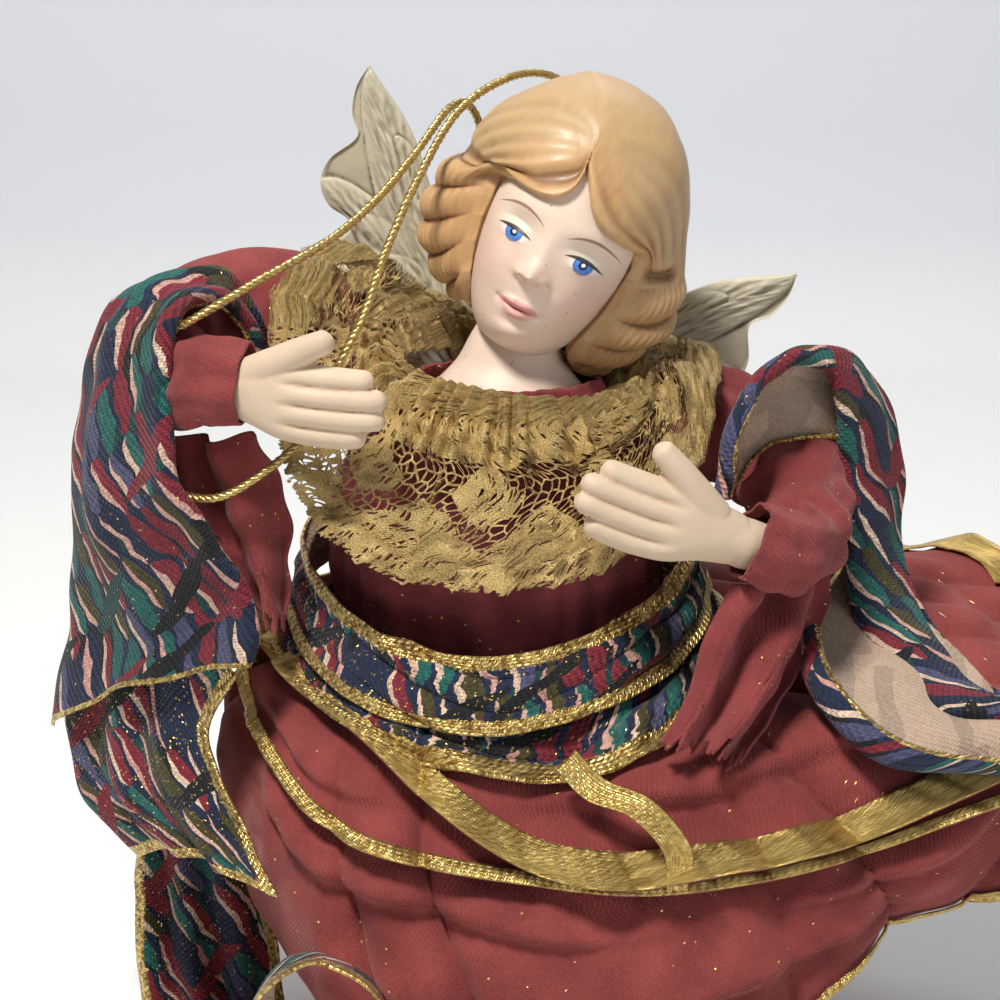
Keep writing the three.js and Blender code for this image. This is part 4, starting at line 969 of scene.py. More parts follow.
# %% [markdown]
# ## Ribbon shawls and drapes
# Wired ribbon keeps the curve it is bent to. Each shawl is a strip between two edge lines, with a middle
# line where it arches over the arm. The torn drapes under the cuffs are made the same way, with deeper
# folds and a ragged end.


# %% Strips between edges
def across_share(back, middle, front, s):
    """A value that is given at the back edge, the middle and the front edge of a strip."""
    return back * (1 - s) * (1 - 2 * s) + middle * 4 * s * (1 - s) + front * s * (2 * s - 1)


def strip_grid(front, back, rows, columns, middle=None, folds=0, depth=0.0, camber=0.0, ragged=0.0, seed=1,
               start=(0, 0, 0), end=(1, 1, 1)):
    """Grid of a strip from its back edge across to its front edge, with lengthwise folds.

    Start and end say which share of the lines is used at the back edge, the middle and the front edge."""
    s = np.linspace(0, 1, columns)[None, :] * np.ones((rows, 1))
    first = across_share(*start, s)
    steps = first + (across_share(*end, s) - first) * np.linspace(0, 1, rows)[:, None]
    if ragged:
        teeth = ripple(s[0][:, None] * 30, 4.0, seed) + 0.6 * ripple(s[0][:, None] * 30, 1.8, seed + 1)
        steps = steps * (1 - ragged * (0.6 + 0.6 * np.clip(teeth, -1, 1))[None, :])
    a = smooth_line(front, steps)
    b = smooth_line(back, steps)
    m = smooth_line(middle, steps) if middle else (a + b) / 2
    flat = across_share(b, m, a, s[..., None])
    rise = camber * np.sin(math.pi * s) + depth * np.sin(TURN * folds * s)
    return flat + grid_normals(flat, False) * rise[..., None]


def window(value, low, high, soft):
    """1 between two limits, falling to 0 past them."""
    return np.clip((value - low) / soft + 0.5, 0, 1) * np.clip((high - value) / soft + 0.5, 0, 1)


def rolled(grid, radius, turn, count, inward):
    """Rolls the front edge of a strip over to its inside."""
    normal = grid_normals(grid, False)[:, -1] * inward
    out = grid[:, -1] - grid[:, -3]
    out /= np.linalg.norm(out, axis=-1, keepdims=True)
    angle = (np.arange(1, count + 1) / count * math.radians(turn))[None, :, None]
    sideways = radius * np.sin(angle) * out[:, None]
    over = radius * (1 - np.cos(angle)) * normal[:, None]
    return np.concatenate((grid, grid[:, -1:] + sideways + over), axis=1)


def lifted(grid, amount, first):
    """Bends the lower end of a strip outwards, from a share of its length on."""
    share = np.clip((np.linspace(0, 1, len(grid)) - first) / (1 - first), 0, 1) ** 2
    return grid + grid_normals(grid, False) * (amount * share)[:, None, None]


def crumple(grid, amount, size, seed):
    return grid + grid_normals(grid, False) * (amount * ripple(grid, size, seed))[..., None]


def declare_strip(piece, grid, node_name):
    """A strip cut flat: its wide rows by its longest line."""
    wide = np.percentile(np.linalg.norm(np.diff(grid, axis=1), axis=-1).sum(axis=1), 85)
    long = np.linalg.norm(np.diff(grid, axis=0), axis=-1).sum(axis=0).max()
    declare_sheet(piece, wide, long, node_name)


def ribbon_strip(name, grid, front, node_name, gold_end=False):
    """A strip of the printed ribbon with its lining side and its gold edge."""
    piece = cloth_piece(name, grid, RIBBON, [front, ribbon_back], edge=edge_distance(grid, gold_end))
    declare_strip(piece, grid, node_name)


print("strip maker ready")

# %% Shawl over the figure's right arm
RIGHT_SHAWL_FRONT = [
    (-37.7, -8, 124.5), (-39.7, -11, 131.5), (-43.1, -15, 135.7), (-47.3, -19, 136.5), (-51.6, -24.2, 133.8),
    (-52.2, -27, 126.1), (-52, -28.5, 118.1), (-51, -29.5, 108.1), (-45.4, -28.5, 97.5), (-40.5, -26.5, 88),
    (-39.3, -25.5, 79.6), (-46.9, -21, 64.6), (-41.3, -28, 53.4), (-34.5, -39.5, 44.8),
]
RIGHT_SHAWL_MIDDLE = [
    (-37.8, -4.5, 123), (-40, -6.5, 132), (-44.5, -8, 137), (-52, -9, 137), (-60, -11, 131),
    (-64, -12.5, 121.5), (-65.5, -14, 110), (-65.5, -14.5, 100), (-63.5, -14.5, 91), (-61, -14, 82),
    (-60, -13, 74), (-62, -13, 62), (-59, -18, 51), (-50, -25.5, 44.5),
]
RIGHT_SHAWL_BACK = [
    (-38.5, -2, 122), (-40.5, -3, 130.5), (-45.5, -3, 135.3), (-53, -1, 134.4), (-61, -0.5, 131.5),
    (-64.5, 0.5, 122), (-67.5, 1.5, 112), (-69.5, 2, 101), (-70.5, 2, 91), (-71.5, 2, 80),
    (-73, 2, 70), (-73.4, 2, 58), (-71, 0, 47), (-61.5, -4, 37),
]
SHAWL_SPANS = len(RIGHT_SHAWL_FRONT) - 1
UPPER_PANEL_END = (11 / SHAWL_SPANS, 10.4 / SHAWL_SPANS, 10.1 / SHAWL_SPANS)
LOWER_PANEL_START = (10.2 / SHAWL_SPANS, 9.8 / SHAWL_SPANS, 10.3 / SHAWL_SPANS)
right_shawl_grid = crumple(strip_grid(
    RIGHT_SHAWL_FRONT, RIGHT_SHAWL_BACK, 210, 64, RIGHT_SHAWL_MIDDLE, folds=2, depth=0.9,
    end=UPPER_PANEL_END), 0.5, 12, 31)
right_shawl_grid = rolled(lifted(right_shawl_grid, 2.4, 0.86), 1.3, 190, 10, -1)
ribbon_strip("right_shawl_ribbon", right_shawl_grid, shawl_print, "right_shawl",
             gold_end=True)
shawl_fold_grid = crumple(strip_grid(
    RIGHT_SHAWL_FRONT, RIGHT_SHAWL_BACK, 110, 64, RIGHT_SHAWL_MIDDLE, folds=3, depth=0.9, camber=-1.5,
    start=LOWER_PANEL_START), 0.5, 9, 34)
ribbon_strip("right_shawl_fold_ribbon", shawl_fold_grid, sash_print, "right_shawl",
             gold_end=True)

# %% Tail and curl of that shawl
TAIL_FRONT = [(-54, 0, 56), (-46, 4.5, 37), (-41.8, 7, 24), (-39.5, 8, 14), (-38.5, 8, 2.2)]
TAIL_BACK = [(-71, 4.2, 57), (-64, 8, 37), (-64.5, 9, 24), (-64.7, 9, 14), (-64, 9, 2.2)]
CURL_INNER = [
    (-39.5, 8, 0.9), (-39, -10, 0.9), (-38.5, -22, 6), (-37, -29, 19), (-35, -34, 30.5), (-30, -39, 35),
    (-25, -42.5, 35.5), (-20, -45, 33), (-17.5, -46.5, 27),
]
CURL_OUTER = [
    (-63.5, 8.5, 0.9), (-60, -16, 0.9), (-53, -33, 6), (-44, -42, 18), (-37, -46, 31), (-29.5, -49.5, 38.2),
    (-24, -51.5, 38), (-19, -53, 35), (-16.5, -54, 29),
]
tail_grid = crumple(strip_grid(TAIL_FRONT, TAIL_BACK, 90, 64, folds=3, depth=1.3, camber=1.0), 0.4, 9, 32)
ribbon_strip("right_shawl_tail_ribbon", tail_grid, sash_print, "right_shawl_tail")
curl_grid = strip_grid(CURL_INNER, CURL_OUTER, 150, 52, camber=0.6)
curl_grid[..., 2] = np.maximum(curl_grid[..., 2], FLOOR_CLEARANCE)
ribbon_strip("right_shawl_curl_ribbon", curl_grid, sash_print, "right_shawl_curl")

# %% Shawl over the figure's left arm
LEFT_SHAWL_FRONT = [
    (33.5, -22.5, 105), (34.6, -22.3, 114), (38.1, -19.5, 121.3), (43.5, -16.5, 124.5), (48, -13.5, 125),
    (53.5, -10.5, 122.5), (55.8, -9, 115.5), (56.6, -8.5, 106), (57.6, -8.5, 96), (58.2, -9.5, 87),
    (59.5, -13, 80.5), (63.5, -19, 75), (70, -25.5, 71), (80, -27.5, 70),
]
LEFT_SHAWL_MIDDLE = [
    (35.5, -17, 106), (37.5, -16, 113.5), (41, -13, 119.5), (45.5, -10.5, 122), (50, -7, 123),
    (58, -2, 121.5), (64, 0.5, 114), (66, 1, 104), (66.5, 0.5, 94.5), (67.5, -2, 85.5),
    (70, -8, 79.5), (73.5, -15, 75.5), (78, -22, 72), (84, -26, 71),
]
LEFT_SHAWL_BACK = [
    (37, -11, 104), (39.5, -9.5, 108), (42.5, -8.5, 110.3), (46, -8, 110.7), (50, -7, 110.7),
    (54.5, -5.5, 110), (57.5, -3.5, 106), (58, -2, 99), (57.5, -2, 90.5), (54, -6, 84),
    (49.5, -17, 79), (51, -29, 72.5), (60.5, -37, 66.3), (78.5, -32, 64.5),
]
left_shawl_grid = crumple(strip_grid(
    LEFT_SHAWL_FRONT, LEFT_SHAWL_BACK, 260, 64, LEFT_SHAWL_MIDDLE, folds=2, depth=0.5), 0.35, 11, 33)
left_shawl_grid = rolled(left_shawl_grid, 1.2, 170, 8, 1)
lower_roll = 0.5 + 2.0 * window(np.linspace(0, 1, len(left_shawl_grid)), 0.68, 2, 0.2)
left_shawl_grid = rolled(left_shawl_grid[:, ::-1], lower_roll[:, None, None], 200, 12, -1)[:, ::-1]
ribbon_strip("left_shawl_ribbon", left_shawl_grid[:, ::-1], shawl_print, "left_shawl")

# %% Gold streamer
STREAMER = 0.3
STREAMER_A = [(8.5, -41, 66.5), (13, -43.6, 62.6), (19.5, -46.4, 61), (24.5, -48, 56), (25.2, -48.2, 50)]
STREAMER_B = [
    (11.5, -40.6, 69.5), (15.8, -43.2, 65.8), (23, -46.2, 63.5), (28.8, -48, 56.5), (28.2, -48.2, 49.5),
]
streamer_grid = strip_grid(STREAMER_A, STREAMER_B, 50, 12, camber=0.4)
streamer = cloth_piece("gold_streamer_ribbon", streamer_grid, STREAMER, [gold_ribbon])
settle(streamer, "gold_streamer")
declare_ring(lower_sash, lower_grid, "lower_sash")

# %% Sleeves
SLEEVE = 0.5
SLEEVE_ROWS = 110
SLEEVE_COLUMNS = 96
RIGHT_SLEEVE = [
    (-21, 8, 119, 9.5), (-31, 10, 124, 10.6), (-42, 10, 127, 11.2), (-50, 3, 124.5, 10),
    (-51.5, -7, 121.5, 8.2), (-49.5, -16.5, 121.8, 7.4), (-45.5, -23.5, 123, 6.7),
    (-43, -26.4, 123.6, 6.6), (-38, -27.9, 123.4, 6.1),
]
LEFT_SLEEVE = [
    (20, 5, 112, 8.5), (30, 6, 111, 9), (39.5, 4, 107.5, 9.3), (47.5, -3, 102.5, 8.8), (48.5, -11, 98.5, 8.3),
    (47, -19, 96.6, 7.6), (44.4, -25.4, 97, 7), (40.4, -29.8, 98.7, 6.3), (37.8, -30.6, 99.9, 6.1),
]


def sleeve_grid(rings, rows, columns, seed):
    rings = np.asarray(rings, float)
    share = np.linspace(0, 1, rows)
    line = smooth_line(rings[:, :3], share)
    radius = smooth_line(rings[:, 3:], share)[:, 0]
    tangent, _, _ = line_frames(line)
    side = np.array((0.0, 0.0, 1.0))
    grid = np.zeros((rows, columns, 3))
    angle = np.arange(columns) / columns * TURN
    for k in range(rows):
        side = side - tangent[k] * np.dot(side, tangent[k])
        side /= np.linalg.norm(side)
        other = np.cross(side, tangent[k])
        spread = np.cos(angle)[:, None] * side + np.sin(angle)[:, None] * other
        lengthwise = 0.4 * np.cos(3 * angle) + 0.35 * np.cos(7 * angle + 5 * share[k])
        grid[k] = line[k] + spread * (radius[k] - 0.35 + lengthwise)[:, None]
    around = np.stack(np.broadcast_arrays(
        share[:, None] * 60, 12 * np.cos(angle)[None, :], 12 * np.sin(angle)[None, :]), -1)
    squeeze = 0.9 * ripple(around * np.array((1.6, 0.5, 0.5)), 11, seed)
    squeeze += 0.35 * ripple(around, 5, seed + 5)
    ends = (np.clip(share * 9, 0, 1) * np.clip((1 - share) * 3.2, 0.12, 1))[:, None]
    return grid + grid_normals(grid, True) * (squeeze * ends)[..., None]


SLEEVE_PAIR = [
    ("right_sleeve", RIGHT_SLEEVE, 41, "right_arm_wire"),
    ("left_sleeve", LEFT_SLEEVE, 42, "left_arm_wire"),
]
for sleeve_name, sleeve_rings, seed, wire in SLEEVE_PAIR:
    sleeve_points = sleeve_grid(sleeve_rings, SLEEVE_ROWS, SLEEVE_COLUMNS, seed)
    sleeve = cloth_piece(sleeve_name + "_cloth", sleeve_points, SLEEVE, [dress_cloth], closed=True)
    declare_ring(sleeve, sleeve_points, sleeve_name)

# %% Torn drapes under the cuffs
RIGHT_DRAPE_A = [(-52, -15, 113), (-49.5, -17, 102), (-43, -19, 93), (-38.5, -20.5, 84)]
RIGHT_DRAPE_B = [(-37, -24, 115), (-33.5, -22, 104), (-33.5, -21, 94), (-33.8, -21, 82)]
LEFT_DRAPE_A = [(35.5, -31, 92.8), (31.5, -34.6, 86), (28.4, -37.6, 77), (24.5, -39, 69)]
LEFT_DRAPE_B = [(53, -14, 90.2), (51.5, -19.5, 84), (43.5, -31, 74), (36, -39.5, 66)]
right_drape_grid = crumple(strip_grid(
    RIGHT_DRAPE_A, RIGHT_DRAPE_B, 90, 80, folds=2, depth=1.6, camber=-2.0, ragged=0.08, seed=51), 0.9, 9, 52)
right_drape = cloth_piece("right_sleeve_drape_cloth", right_drape_grid[:, ::-1], SLEEVE, [dress_cloth])
declare_strip(right_drape, right_drape_grid, "right_sleeve_drape")
left_drape_grid = crumple(strip_grid(
    LEFT_DRAPE_A, LEFT_DRAPE_B, 90, 110, folds=2, depth=2.2, camber=-1.5, ragged=0.1, seed=53), 1.0, 9, 54)
left_drape = cloth_piece("left_sleeve_drape_cloth", left_drape_grid[:, ::-1], SLEEVE, [dress_cloth])
declare_strip(left_drape, left_drape_grid, "left_sleeve_drape")

# %% [markdown]
# ## Bodice and wadding
# Under the collar a bodice is gathered over a wadded body. Its cloth is a darker burgundy than the dress;
# part of that darkness is painted shade from the collar above. The bodice is a ring of cloth with many fine
# gathers; the wadding is a thick sleeve round the cone and is hidden on the finished figure.

# %% Bodice
BODY_RINGS = np.array([
    (66, -1, 0, 25, 19.5), (76, -1, 0, 26, 20.3), (88, -1, -1, 27.5, 22), (100, -0.5, -1.5, 27, 21.5),
    (108, 0, -2, 24, 19), (114, 0.5, -3, 19, 15.5), (120, 1, -4, 15.2, 13.2),
])


def body_point(z, angle, grow):
    cx, cy, a, b = (np.interp(z, BODY_RINGS[:, 0], BODY_RINGS[:, k]) for k in (1, 2, 3, 4))
    x = cx + (a + grow) * np.cos(angle)
    y = cy + (b + grow) * np.sin(angle)
    return np.stack(np.broadcast_arrays(x, y, z), -1)


BODICE = 0.4
BODICE_ROWS = 80
BODICE_COLUMNS = 300
bodice_z = np.linspace(120, 66, BODICE_ROWS)[:, None]
bodice_angle = (-math.pi + np.arange(BODICE_COLUMNS) / BODICE_COLUMNS * TURN)[None, :]
gathers = 0.35 * np.sin(27 * bodice_angle + 1.5 * np.sin(5 * bodice_angle) + 0.04 * bodice_z)
gathers = gathers + 0.4 * np.sin(11 * bodice_angle + 0.09 * bodice_z)
bodice_grid = body_point(bodice_z, bodice_angle, gathers - 0.4)
bodice = cloth_piece("bodice_cloth_gathered", bodice_grid, BODICE, [bodice_cloth], closed=True)
declare_ring(bodice, bodice_grid, "bodice")

# %% Wadding
WADDING_COLUMNS = 72
WADDING_OUTER_ROWS = 40
WADDING_INNER_ROWS = 16
WADDING_FOOT = 66.6
WADDING_TOP = 113.8
WADDING_SINK = 1.7
DOWEL_PLACE = (1.32, -2.44)
DOWEL_HOLE = 4.2
CONE_FOOT = 19
CONE_NARROWING = 11
CONE_HEIGHT = 112
CONE_GAP = 0.6


def make_wadding_white():
    material, tree, surface = new_material("wadding_white")
    tuft = noise(tree, object_place(tree), 700.0, 5.0)
    tree.links.new(blend_colour(tree, tuft, linear("CFC7B8"), linear("EFEAE0")), surface["Base Color"])
    tree.links.new(bump(tree, tuft, 0.8, 0.0006), surface["Normal"])
    surface["Roughness"].default_value = 0.95
    return material


def wadding_rings():
    """Rings up the outside, over the top to the dowel and down along the cone."""
    angle = np.arange(WADDING_COLUMNS) / WADDING_COLUMNS * TURN
    circle = np.stack((np.cos(angle), np.sin(angle)), -1)
    outer_z = np.linspace(WADDING_FOOT, WADDING_TOP, WADDING_OUTER_ROWS)[:, None]
    outer = body_point(outer_z, angle[None, :], -WADDING_SINK)
    outer += 0.25 * np.sin(outer * 1.3)
    hole = DOWEL_PLACE + DOWEL_HOLE * circle
    top = [np.column_stack((hole, np.full(WADDING_COLUMNS, z))) for z in (WADDING_TOP, 112.9)]
    inner = []
    for z in np.linspace(112.6, WADDING_FOOT, WADDING_INNER_ROWS):
        radius = CONE_FOOT - CONE_NARROWING * z / CONE_HEIGHT + CONE_GAP
        inner.append(np.column_stack((radius * circle, np.full(WADDING_COLUMNS, z))))
    return np.concatenate((outer, top, inner))


rings = wadding_rings()
wadding_faces = []
for k in range(len(rings)):
    ring = k * WADDING_COLUMNS
    following = (k + 1) % len(rings) * WADDING_COLUMNS
    for j in range(WADDING_COLUMNS):
        n = (j + 1) % WADDING_COLUMNS
        wadding_faces.append((ring + j, ring + n, following + n, following + j))
wadding = mesh_object("body_wadding", rings.reshape(-1, 3), wadding_faces)
smooth_shade(wadding)
wadding.data.materials.append(make_wadding_white())
settle(wadding, "body_padding")
print("wadding faces:", len(wadding.data.polygons))

# %% [markdown]
# ## Gold lace collar
# Gathered lace lies round the neck in two textures: dense glittering bands with small holes at the neck and
# along the scalloped edge, and an open net between them with a woven bud in each repeat. The holes are cut
# by the material on a crumpled sheet, because thousands of threads as solids would hide the crumple that
# shows most.

# %% Lace material
LACE_REPEATS = 9


def make_lace():
    material, tree, surface = new_material("gold_lace")
    flat = flat_place(tree)
    share = stored(tree, "edge")
    repeat = stored(tree, "repeat")
    moved = warped(tree, flat, 2.2, 0.12)
    net = node(tree, "ShaderNodeTexVoronoi", {"Vector": moved, "Scale": 7.0, "Randomness": 0.7},
               voronoi_dimensions="2D", feature="DISTANCE_TO_EDGE").outputs["Distance"]
    net_thread = share_between(tree, net, 0.085, 0.06)
    slit_place = node(tree, "ShaderNodeMapping", {"Vector": moved, "Scale": (12.0, 5.0, 1.0)}).outputs[0]
    slit = node(tree, "ShaderNodeTexVoronoi", {"Vector": slit_place, "Scale": 1.0, "Randomness": 0.8},
                voronoi_dimensions="2D").outputs
    slit_chance = node(tree, "ShaderNodeSeparateColor", {"Color": slit["Color"]}).outputs[0]
    near_slit = calc(tree, "LESS_THAN", slit["Distance"], 0.34)
    hole = times(tree, near_slit, calc(tree, "LESS_THAN", slit_chance, 0.5))
    woven = minus(tree, 1.0, hole)
    from_bud = calc(tree, "PINGPONG", repeat, 0.5)
    bud_wave = times(tree, calc(tree, "SINE", times(tree, share, 27.0)), 0.02)
    bud_side = plus(tree, from_bud, bud_wave)
    bud_along = calc(tree, "ABSOLUTE", minus(tree, share, 0.56))
    bud_size = minus(tree, 0.32, times(tree, bud_along, 1.9))
    bud = calc(tree, "LESS_THAN", bud_side, bud_size)
    wobble = times(tree, minus(tree, noise(tree, flat, 0.9, 2.0), 0.5), 0.2)
    level = plus(tree, share, wobble)
    neck_band = calc(tree, "LESS_THAN", level, 0.4)
    arch = times(tree, from_bud, 0.42)
    edge_band = calc(tree, "GREATER_THAN", level, minus(tree, 0.82, arch))
    dense = calc(tree, "MAXIMUM", calc(tree, "MAXIMUM", neck_band, edge_band), bud)
    cover = calc(tree, "MAXIMUM", times(tree, dense, woven), net_thread)
    fray = noise(tree, flat, 9.0, 4.0)
    kept = calc(tree, "LESS_THAN", share, minus(tree, 1.09, times(tree, fray, 0.2)))
    cover = times(tree, cover, kept)
    tree.links.new(cover, surface["Alpha"])
    grain = noise(tree, flat, 60.0, 2.0)
    patch = noise(tree, flat, 2.6, 3.0)
    tone = minus(tree, plus(tree, times(tree, grain, 2.4), patch), 1.15)
    colour = blend_colour(tree, tone, linear("57390F"), linear("FFDF98"))
    tree.links.new(colour, surface["Base Color"])
    tree.links.new(plus(tree, 0.26, times(tree, patch, 0.3)), surface["Roughness"])
    relief = plus(tree, times(tree, grain, 1.4), times(tree, slit["Distance"], 0.7))
    tree.links.new(bump(tree, relief, 0.85, 0.0004), surface["Normal"])
    surface["Metallic"].default_value = 0.55
    return material


lace_gold = make_lace()
print("lace:", lace_gold.name)

# %% Collar
COLLAR_NECK_CENTRE = np.array((1, -4, 120.2))
COLLAR_NECK_HALF = (16.6, 14.6)
COLLAR_NECK_SLOPE = -0.15
COLLAR_EDGE = [
    (-37.5, -10, 128), (-33.5, -22, 107), (-23, -30, 96), (-9, -33, 92), (6, -33, 92),
    (20, -29.5, 96), (30.5, -22, 107), (35, -9, 117.5), (35.5, 5, 122), (24, 15, 120.5),
    (5, 18, 114.5), (-15, 18.5, 126.5), (-28.5, 12, 139), (-34.6, 0, 137.5),
]
COLLAR_PUFF = 4
LACE = 0.35
REPEAT_SHIFT = 0.16
COLLAR_ROWS = 70
COLLAR_COLUMNS = 640


def collar_grid():
    share = np.arange(COLLAR_COLUMNS) / COLLAR_COLUMNS
    angle = -math.pi + TURN * share
    out = COLLAR_NECK_HALF[0] * np.cos(angle)
    ahead = COLLAR_NECK_HALF[1] * np.sin(angle)
    neck = COLLAR_NECK_CENTRE + np.stack((out, ahead, COLLAR_NECK_SLOPE * out), -1)
    edge = smooth_line(COLLAR_EDGE, share, closed=True)
    scallop = 1 - 0.03 * np.abs(np.sin(math.pi * LACE_REPEATS * 3 * share)) ** 0.6
    steps = np.linspace(0, 1, COLLAR_ROWS)[:, None]
    flat = neck + (edge - neck) * (steps * scallop)[..., None]
    normal = grid_normals(flat, True)
    jitter = 0.9 * np.sin(TURN * 5 * share) + 0.6 * np.sin(TURN * 11 * share + 1)
    large = 1.3 * steps * np.cos(TURN * 14 * share)
    pleats = 1.15 * np.sin(TURN * 40 * share + 2.4 * jitter) * np.exp(-((steps - 0.2) / 0.28) ** 2)
    rows = np.stack(np.broadcast_arrays(
        18 * np.cos(angle)[None, :], 18 * np.sin(angle)[None, :], steps * 34), -1)
    crush = 0.8 * ripple(rows, 5.0, 61, 14) + 0.4 * ripple(rows, 2.2, 62, 14)
    rise = COLLAR_PUFF * np.sin(math.pi * steps) + large + pleats + crush * np.clip(steps * 5, 0, 1)
    return flat + normal * rise[..., None], np.broadcast_to(steps, (COLLAR_ROWS, COLLAR_COLUMNS))


lace_grid, lace_share = collar_grid()
collar = cloth_piece("gold_lace_collar", lace_grid, LACE, [lace_gold], closed=True, edge=lace_share)
repeat_row = np.arange(COLLAR_COLUMNS) / COLLAR_COLUMNS * LACE_REPEATS - REPEAT_SHIFT
add_values(collar, "repeat", np.resize(repeat_row, len(collar.data.vertices)))
declare_ring(collar, lace_grid, "lace_collar")

# %% [markdown]
# ## Painted castings
# Head, hands and wings are castings with hand paint. The face is one dense sheet of points pushed into
# shape by soft bumps, so that the painted eyes, brows and lips can be placed in the head's own millimetres.
# The hair is one skin from a rolled brim to the back of the head, with strands and curls as relief. Each
# hand is a wrist, a thumb and a palm with four closed fingers, which a voxel remesh melts together, as clay
# would.

# %% Head place
HEAD_CENTRE = np.array((10.7, -4, 143.9))
HEAD_LEAN = 26
HEAD_TURN = -11
head_matrix = np.array(
    Matrix.Rotation(math.radians(HEAD_LEAN), 3, "Y") @ Matrix.Rotation(math.radians(HEAD_TURN), 3, "Z"))


def in_head(points):
    """Head millimetres to figure millimetres."""
    return np.asarray(points, float) @ head_matrix.T + HEAD_CENTRE


def add_head_place(piece):
    """Keeps each point's place in the head's own millimetres for the paint."""
    local = (points_of(piece) - HEAD_CENTRE) @ head_matrix
    layer = piece.data.attributes.new("head_place", "FLOAT_VECTOR", "POINT")
    layer.data.foreach_set("vector", local.astype(np.float32).ravel())


print("head matrix ready")

# %% Face shape
FACE_HALF = (12.3, 14.6, 19.6)
FACE_COLUMNS = 260
FACE_ROWS = 300


def hump(value, centre, size):
    return np.exp(-((value - centre) / size) ** 2)


def face_grid():
    s = np.linspace(-1, 1, FACE_COLUMNS, endpoint=False)
    around = math.pi * np.sign(s) * np.abs(s) ** 1.6
    up = np.linspace(-math.pi / 2 + 0.01, math.pi / 2 - 0.01, FACE_ROWS)[::-1, None]
    low = np.clip(-np.sin(up), 0, 1)
    wide = np.cos(up) ** (1 - 0.38 * np.clip(low * 2, 0, 1))
    depth = np.clip((low - 0.3) / 0.7, 0, 1)
    x = FACE_HALF[0] * wide * np.sin(around) * (1 - 0.06 * depth)
    y = -1 - FACE_HALF[1] * wide * np.cos(around) - 1.6 * depth ** 2
    z = FACE_HALF[2] * np.sin(up) * (1 + 0.07 * low ** 2) * np.ones_like(x)
    front = np.clip(np.cos(around), 0, 1) ** 0.5
    side = np.abs(x)
    bridge = np.where(z > -7.4, np.clip((1.4 - z) / 8.8, 0, 1) ** 1.3, hump(z, -7.4, 0.8))
    ball = np.where(z > -7.6, hump(z, -7.6, 1.9), hump(z, -7.6, 0.8))
    wing = np.where(z > -7.9, hump(z, -7.9, 1.1), hump(z, -7.9, 0.65))
    push = 1.5 * bridge * hump(x, 0, 1.5 + 0.6 * bridge)
    push += 2.1 * hump(x, 0, 1.7) * ball
    push += 0.9 * hump(side, 2.1, 0.85) * wing
    push -= 0.5 * hump(side, 1.15, 0.5) * hump(z, -8.25, 0.4)
    push += 0.75 * (hump(x, -1.15, 1.35) + hump(x, 1.15, 1.35)) * hump(z, -12.45, 0.66)
    push += 0.95 * hump(x, 0.1, 1.9) * hump(z, -14.05, 0.8)
    push -= 0.6 * hump(x, 0, 2.9) * hump(z, -13.15 + 0.028 * x ** 2, 0.3)
    push -= 0.3 * hump(side, 3.5, 0.6) * hump(z, -12.9, 0.7)
    for eye in (-5.8, 6.2):
        push -= 1.25 * hump(x, eye * 0.97, 3.3) * hump(z, -1.5, 2.4)
        push += 1.25 * hump(x, eye, 2.35) * hump(z, -2.6, 1.45)
        push -= 0.22 * hump(x, eye, 2.7) * hump(z, -0.75 - 0.05 * (x - eye) ** 2, 0.32)
        push += 0.45 * hump(x, eye, 3.4) * hump(z, 1.6, 1.5)
    push += 0.75 * (hump(x, -7.4, 3.3) + hump(x, 7.6, 3.3)) * hump(z, -8.6, 3.8)
    push += 1.0 * hump(x, 0.2, 3.2) * hump(z, -17.4, 2.1)
    push -= 0.32 * hump(x, 0.1, 2.3) * hump(z, -15.75, 0.75)
    return np.stack((x, y - push * front, z), -1)


face_faces = tube_faces(FACE_ROWS, FACE_COLUMNS, turned=True)
face = mesh_object("painted_face", in_head(face_grid().reshape(-1, 3)), face_faces)
print("face points:", FACE_ROWS * FACE_COLUMNS)

# %% Neck and shoulder plate
NECK_RINGS = [
    (6.2, -3, 136, 6.6, 6.8), (5.2, -3, 133, 6.8, 7), (3.6, -3.2, 129, 6.9, 7), (2.4, -3.5, 126, 7.4, 7.3),
    (1.7, -3.8, 122.6, 8.6, 8.1), (1.3, -4, 120, 10.6, 9.6), (1.1, -4, 118, 12.4, 10.8),
    (1, -4, 116, 13.2, 11.3), (1, -4, 114.6, 13.3, 11.4),
]
NECK_ROWS = 60
NECK_COLUMNS = 96
neck_rings = smooth_line(NECK_RINGS, np.linspace(0, 1, NECK_ROWS))
neck_angle = np.arange(NECK_COLUMNS) / NECK_COLUMNS * TURN
neck_points = np.stack((
    neck_rings[:, :1] + neck_rings[:, 3:4] * np.cos(neck_angle),
    neck_rings[:, 1:2] + neck_rings[:, 4:5] * np.sin(neck_angle),
    np.repeat(neck_rings[:, 2:3], NECK_COLUMNS, axis=1)), -1)
neck_faces = tube_faces(NECK_ROWS, NECK_COLUMNS, turned=True)
neck = mesh_object("painted_neck", neck_points.reshape(-1, 3), neck_faces)
deselect()
neck.select_set(True)
face.select_set(True)
bpy.context.view_layer.objects.active = face
bpy.ops.object.join()
bpy.ops.object.shade_smooth()
add_head_place(face)
print("face and neck faces:", len(face.data.polygons))


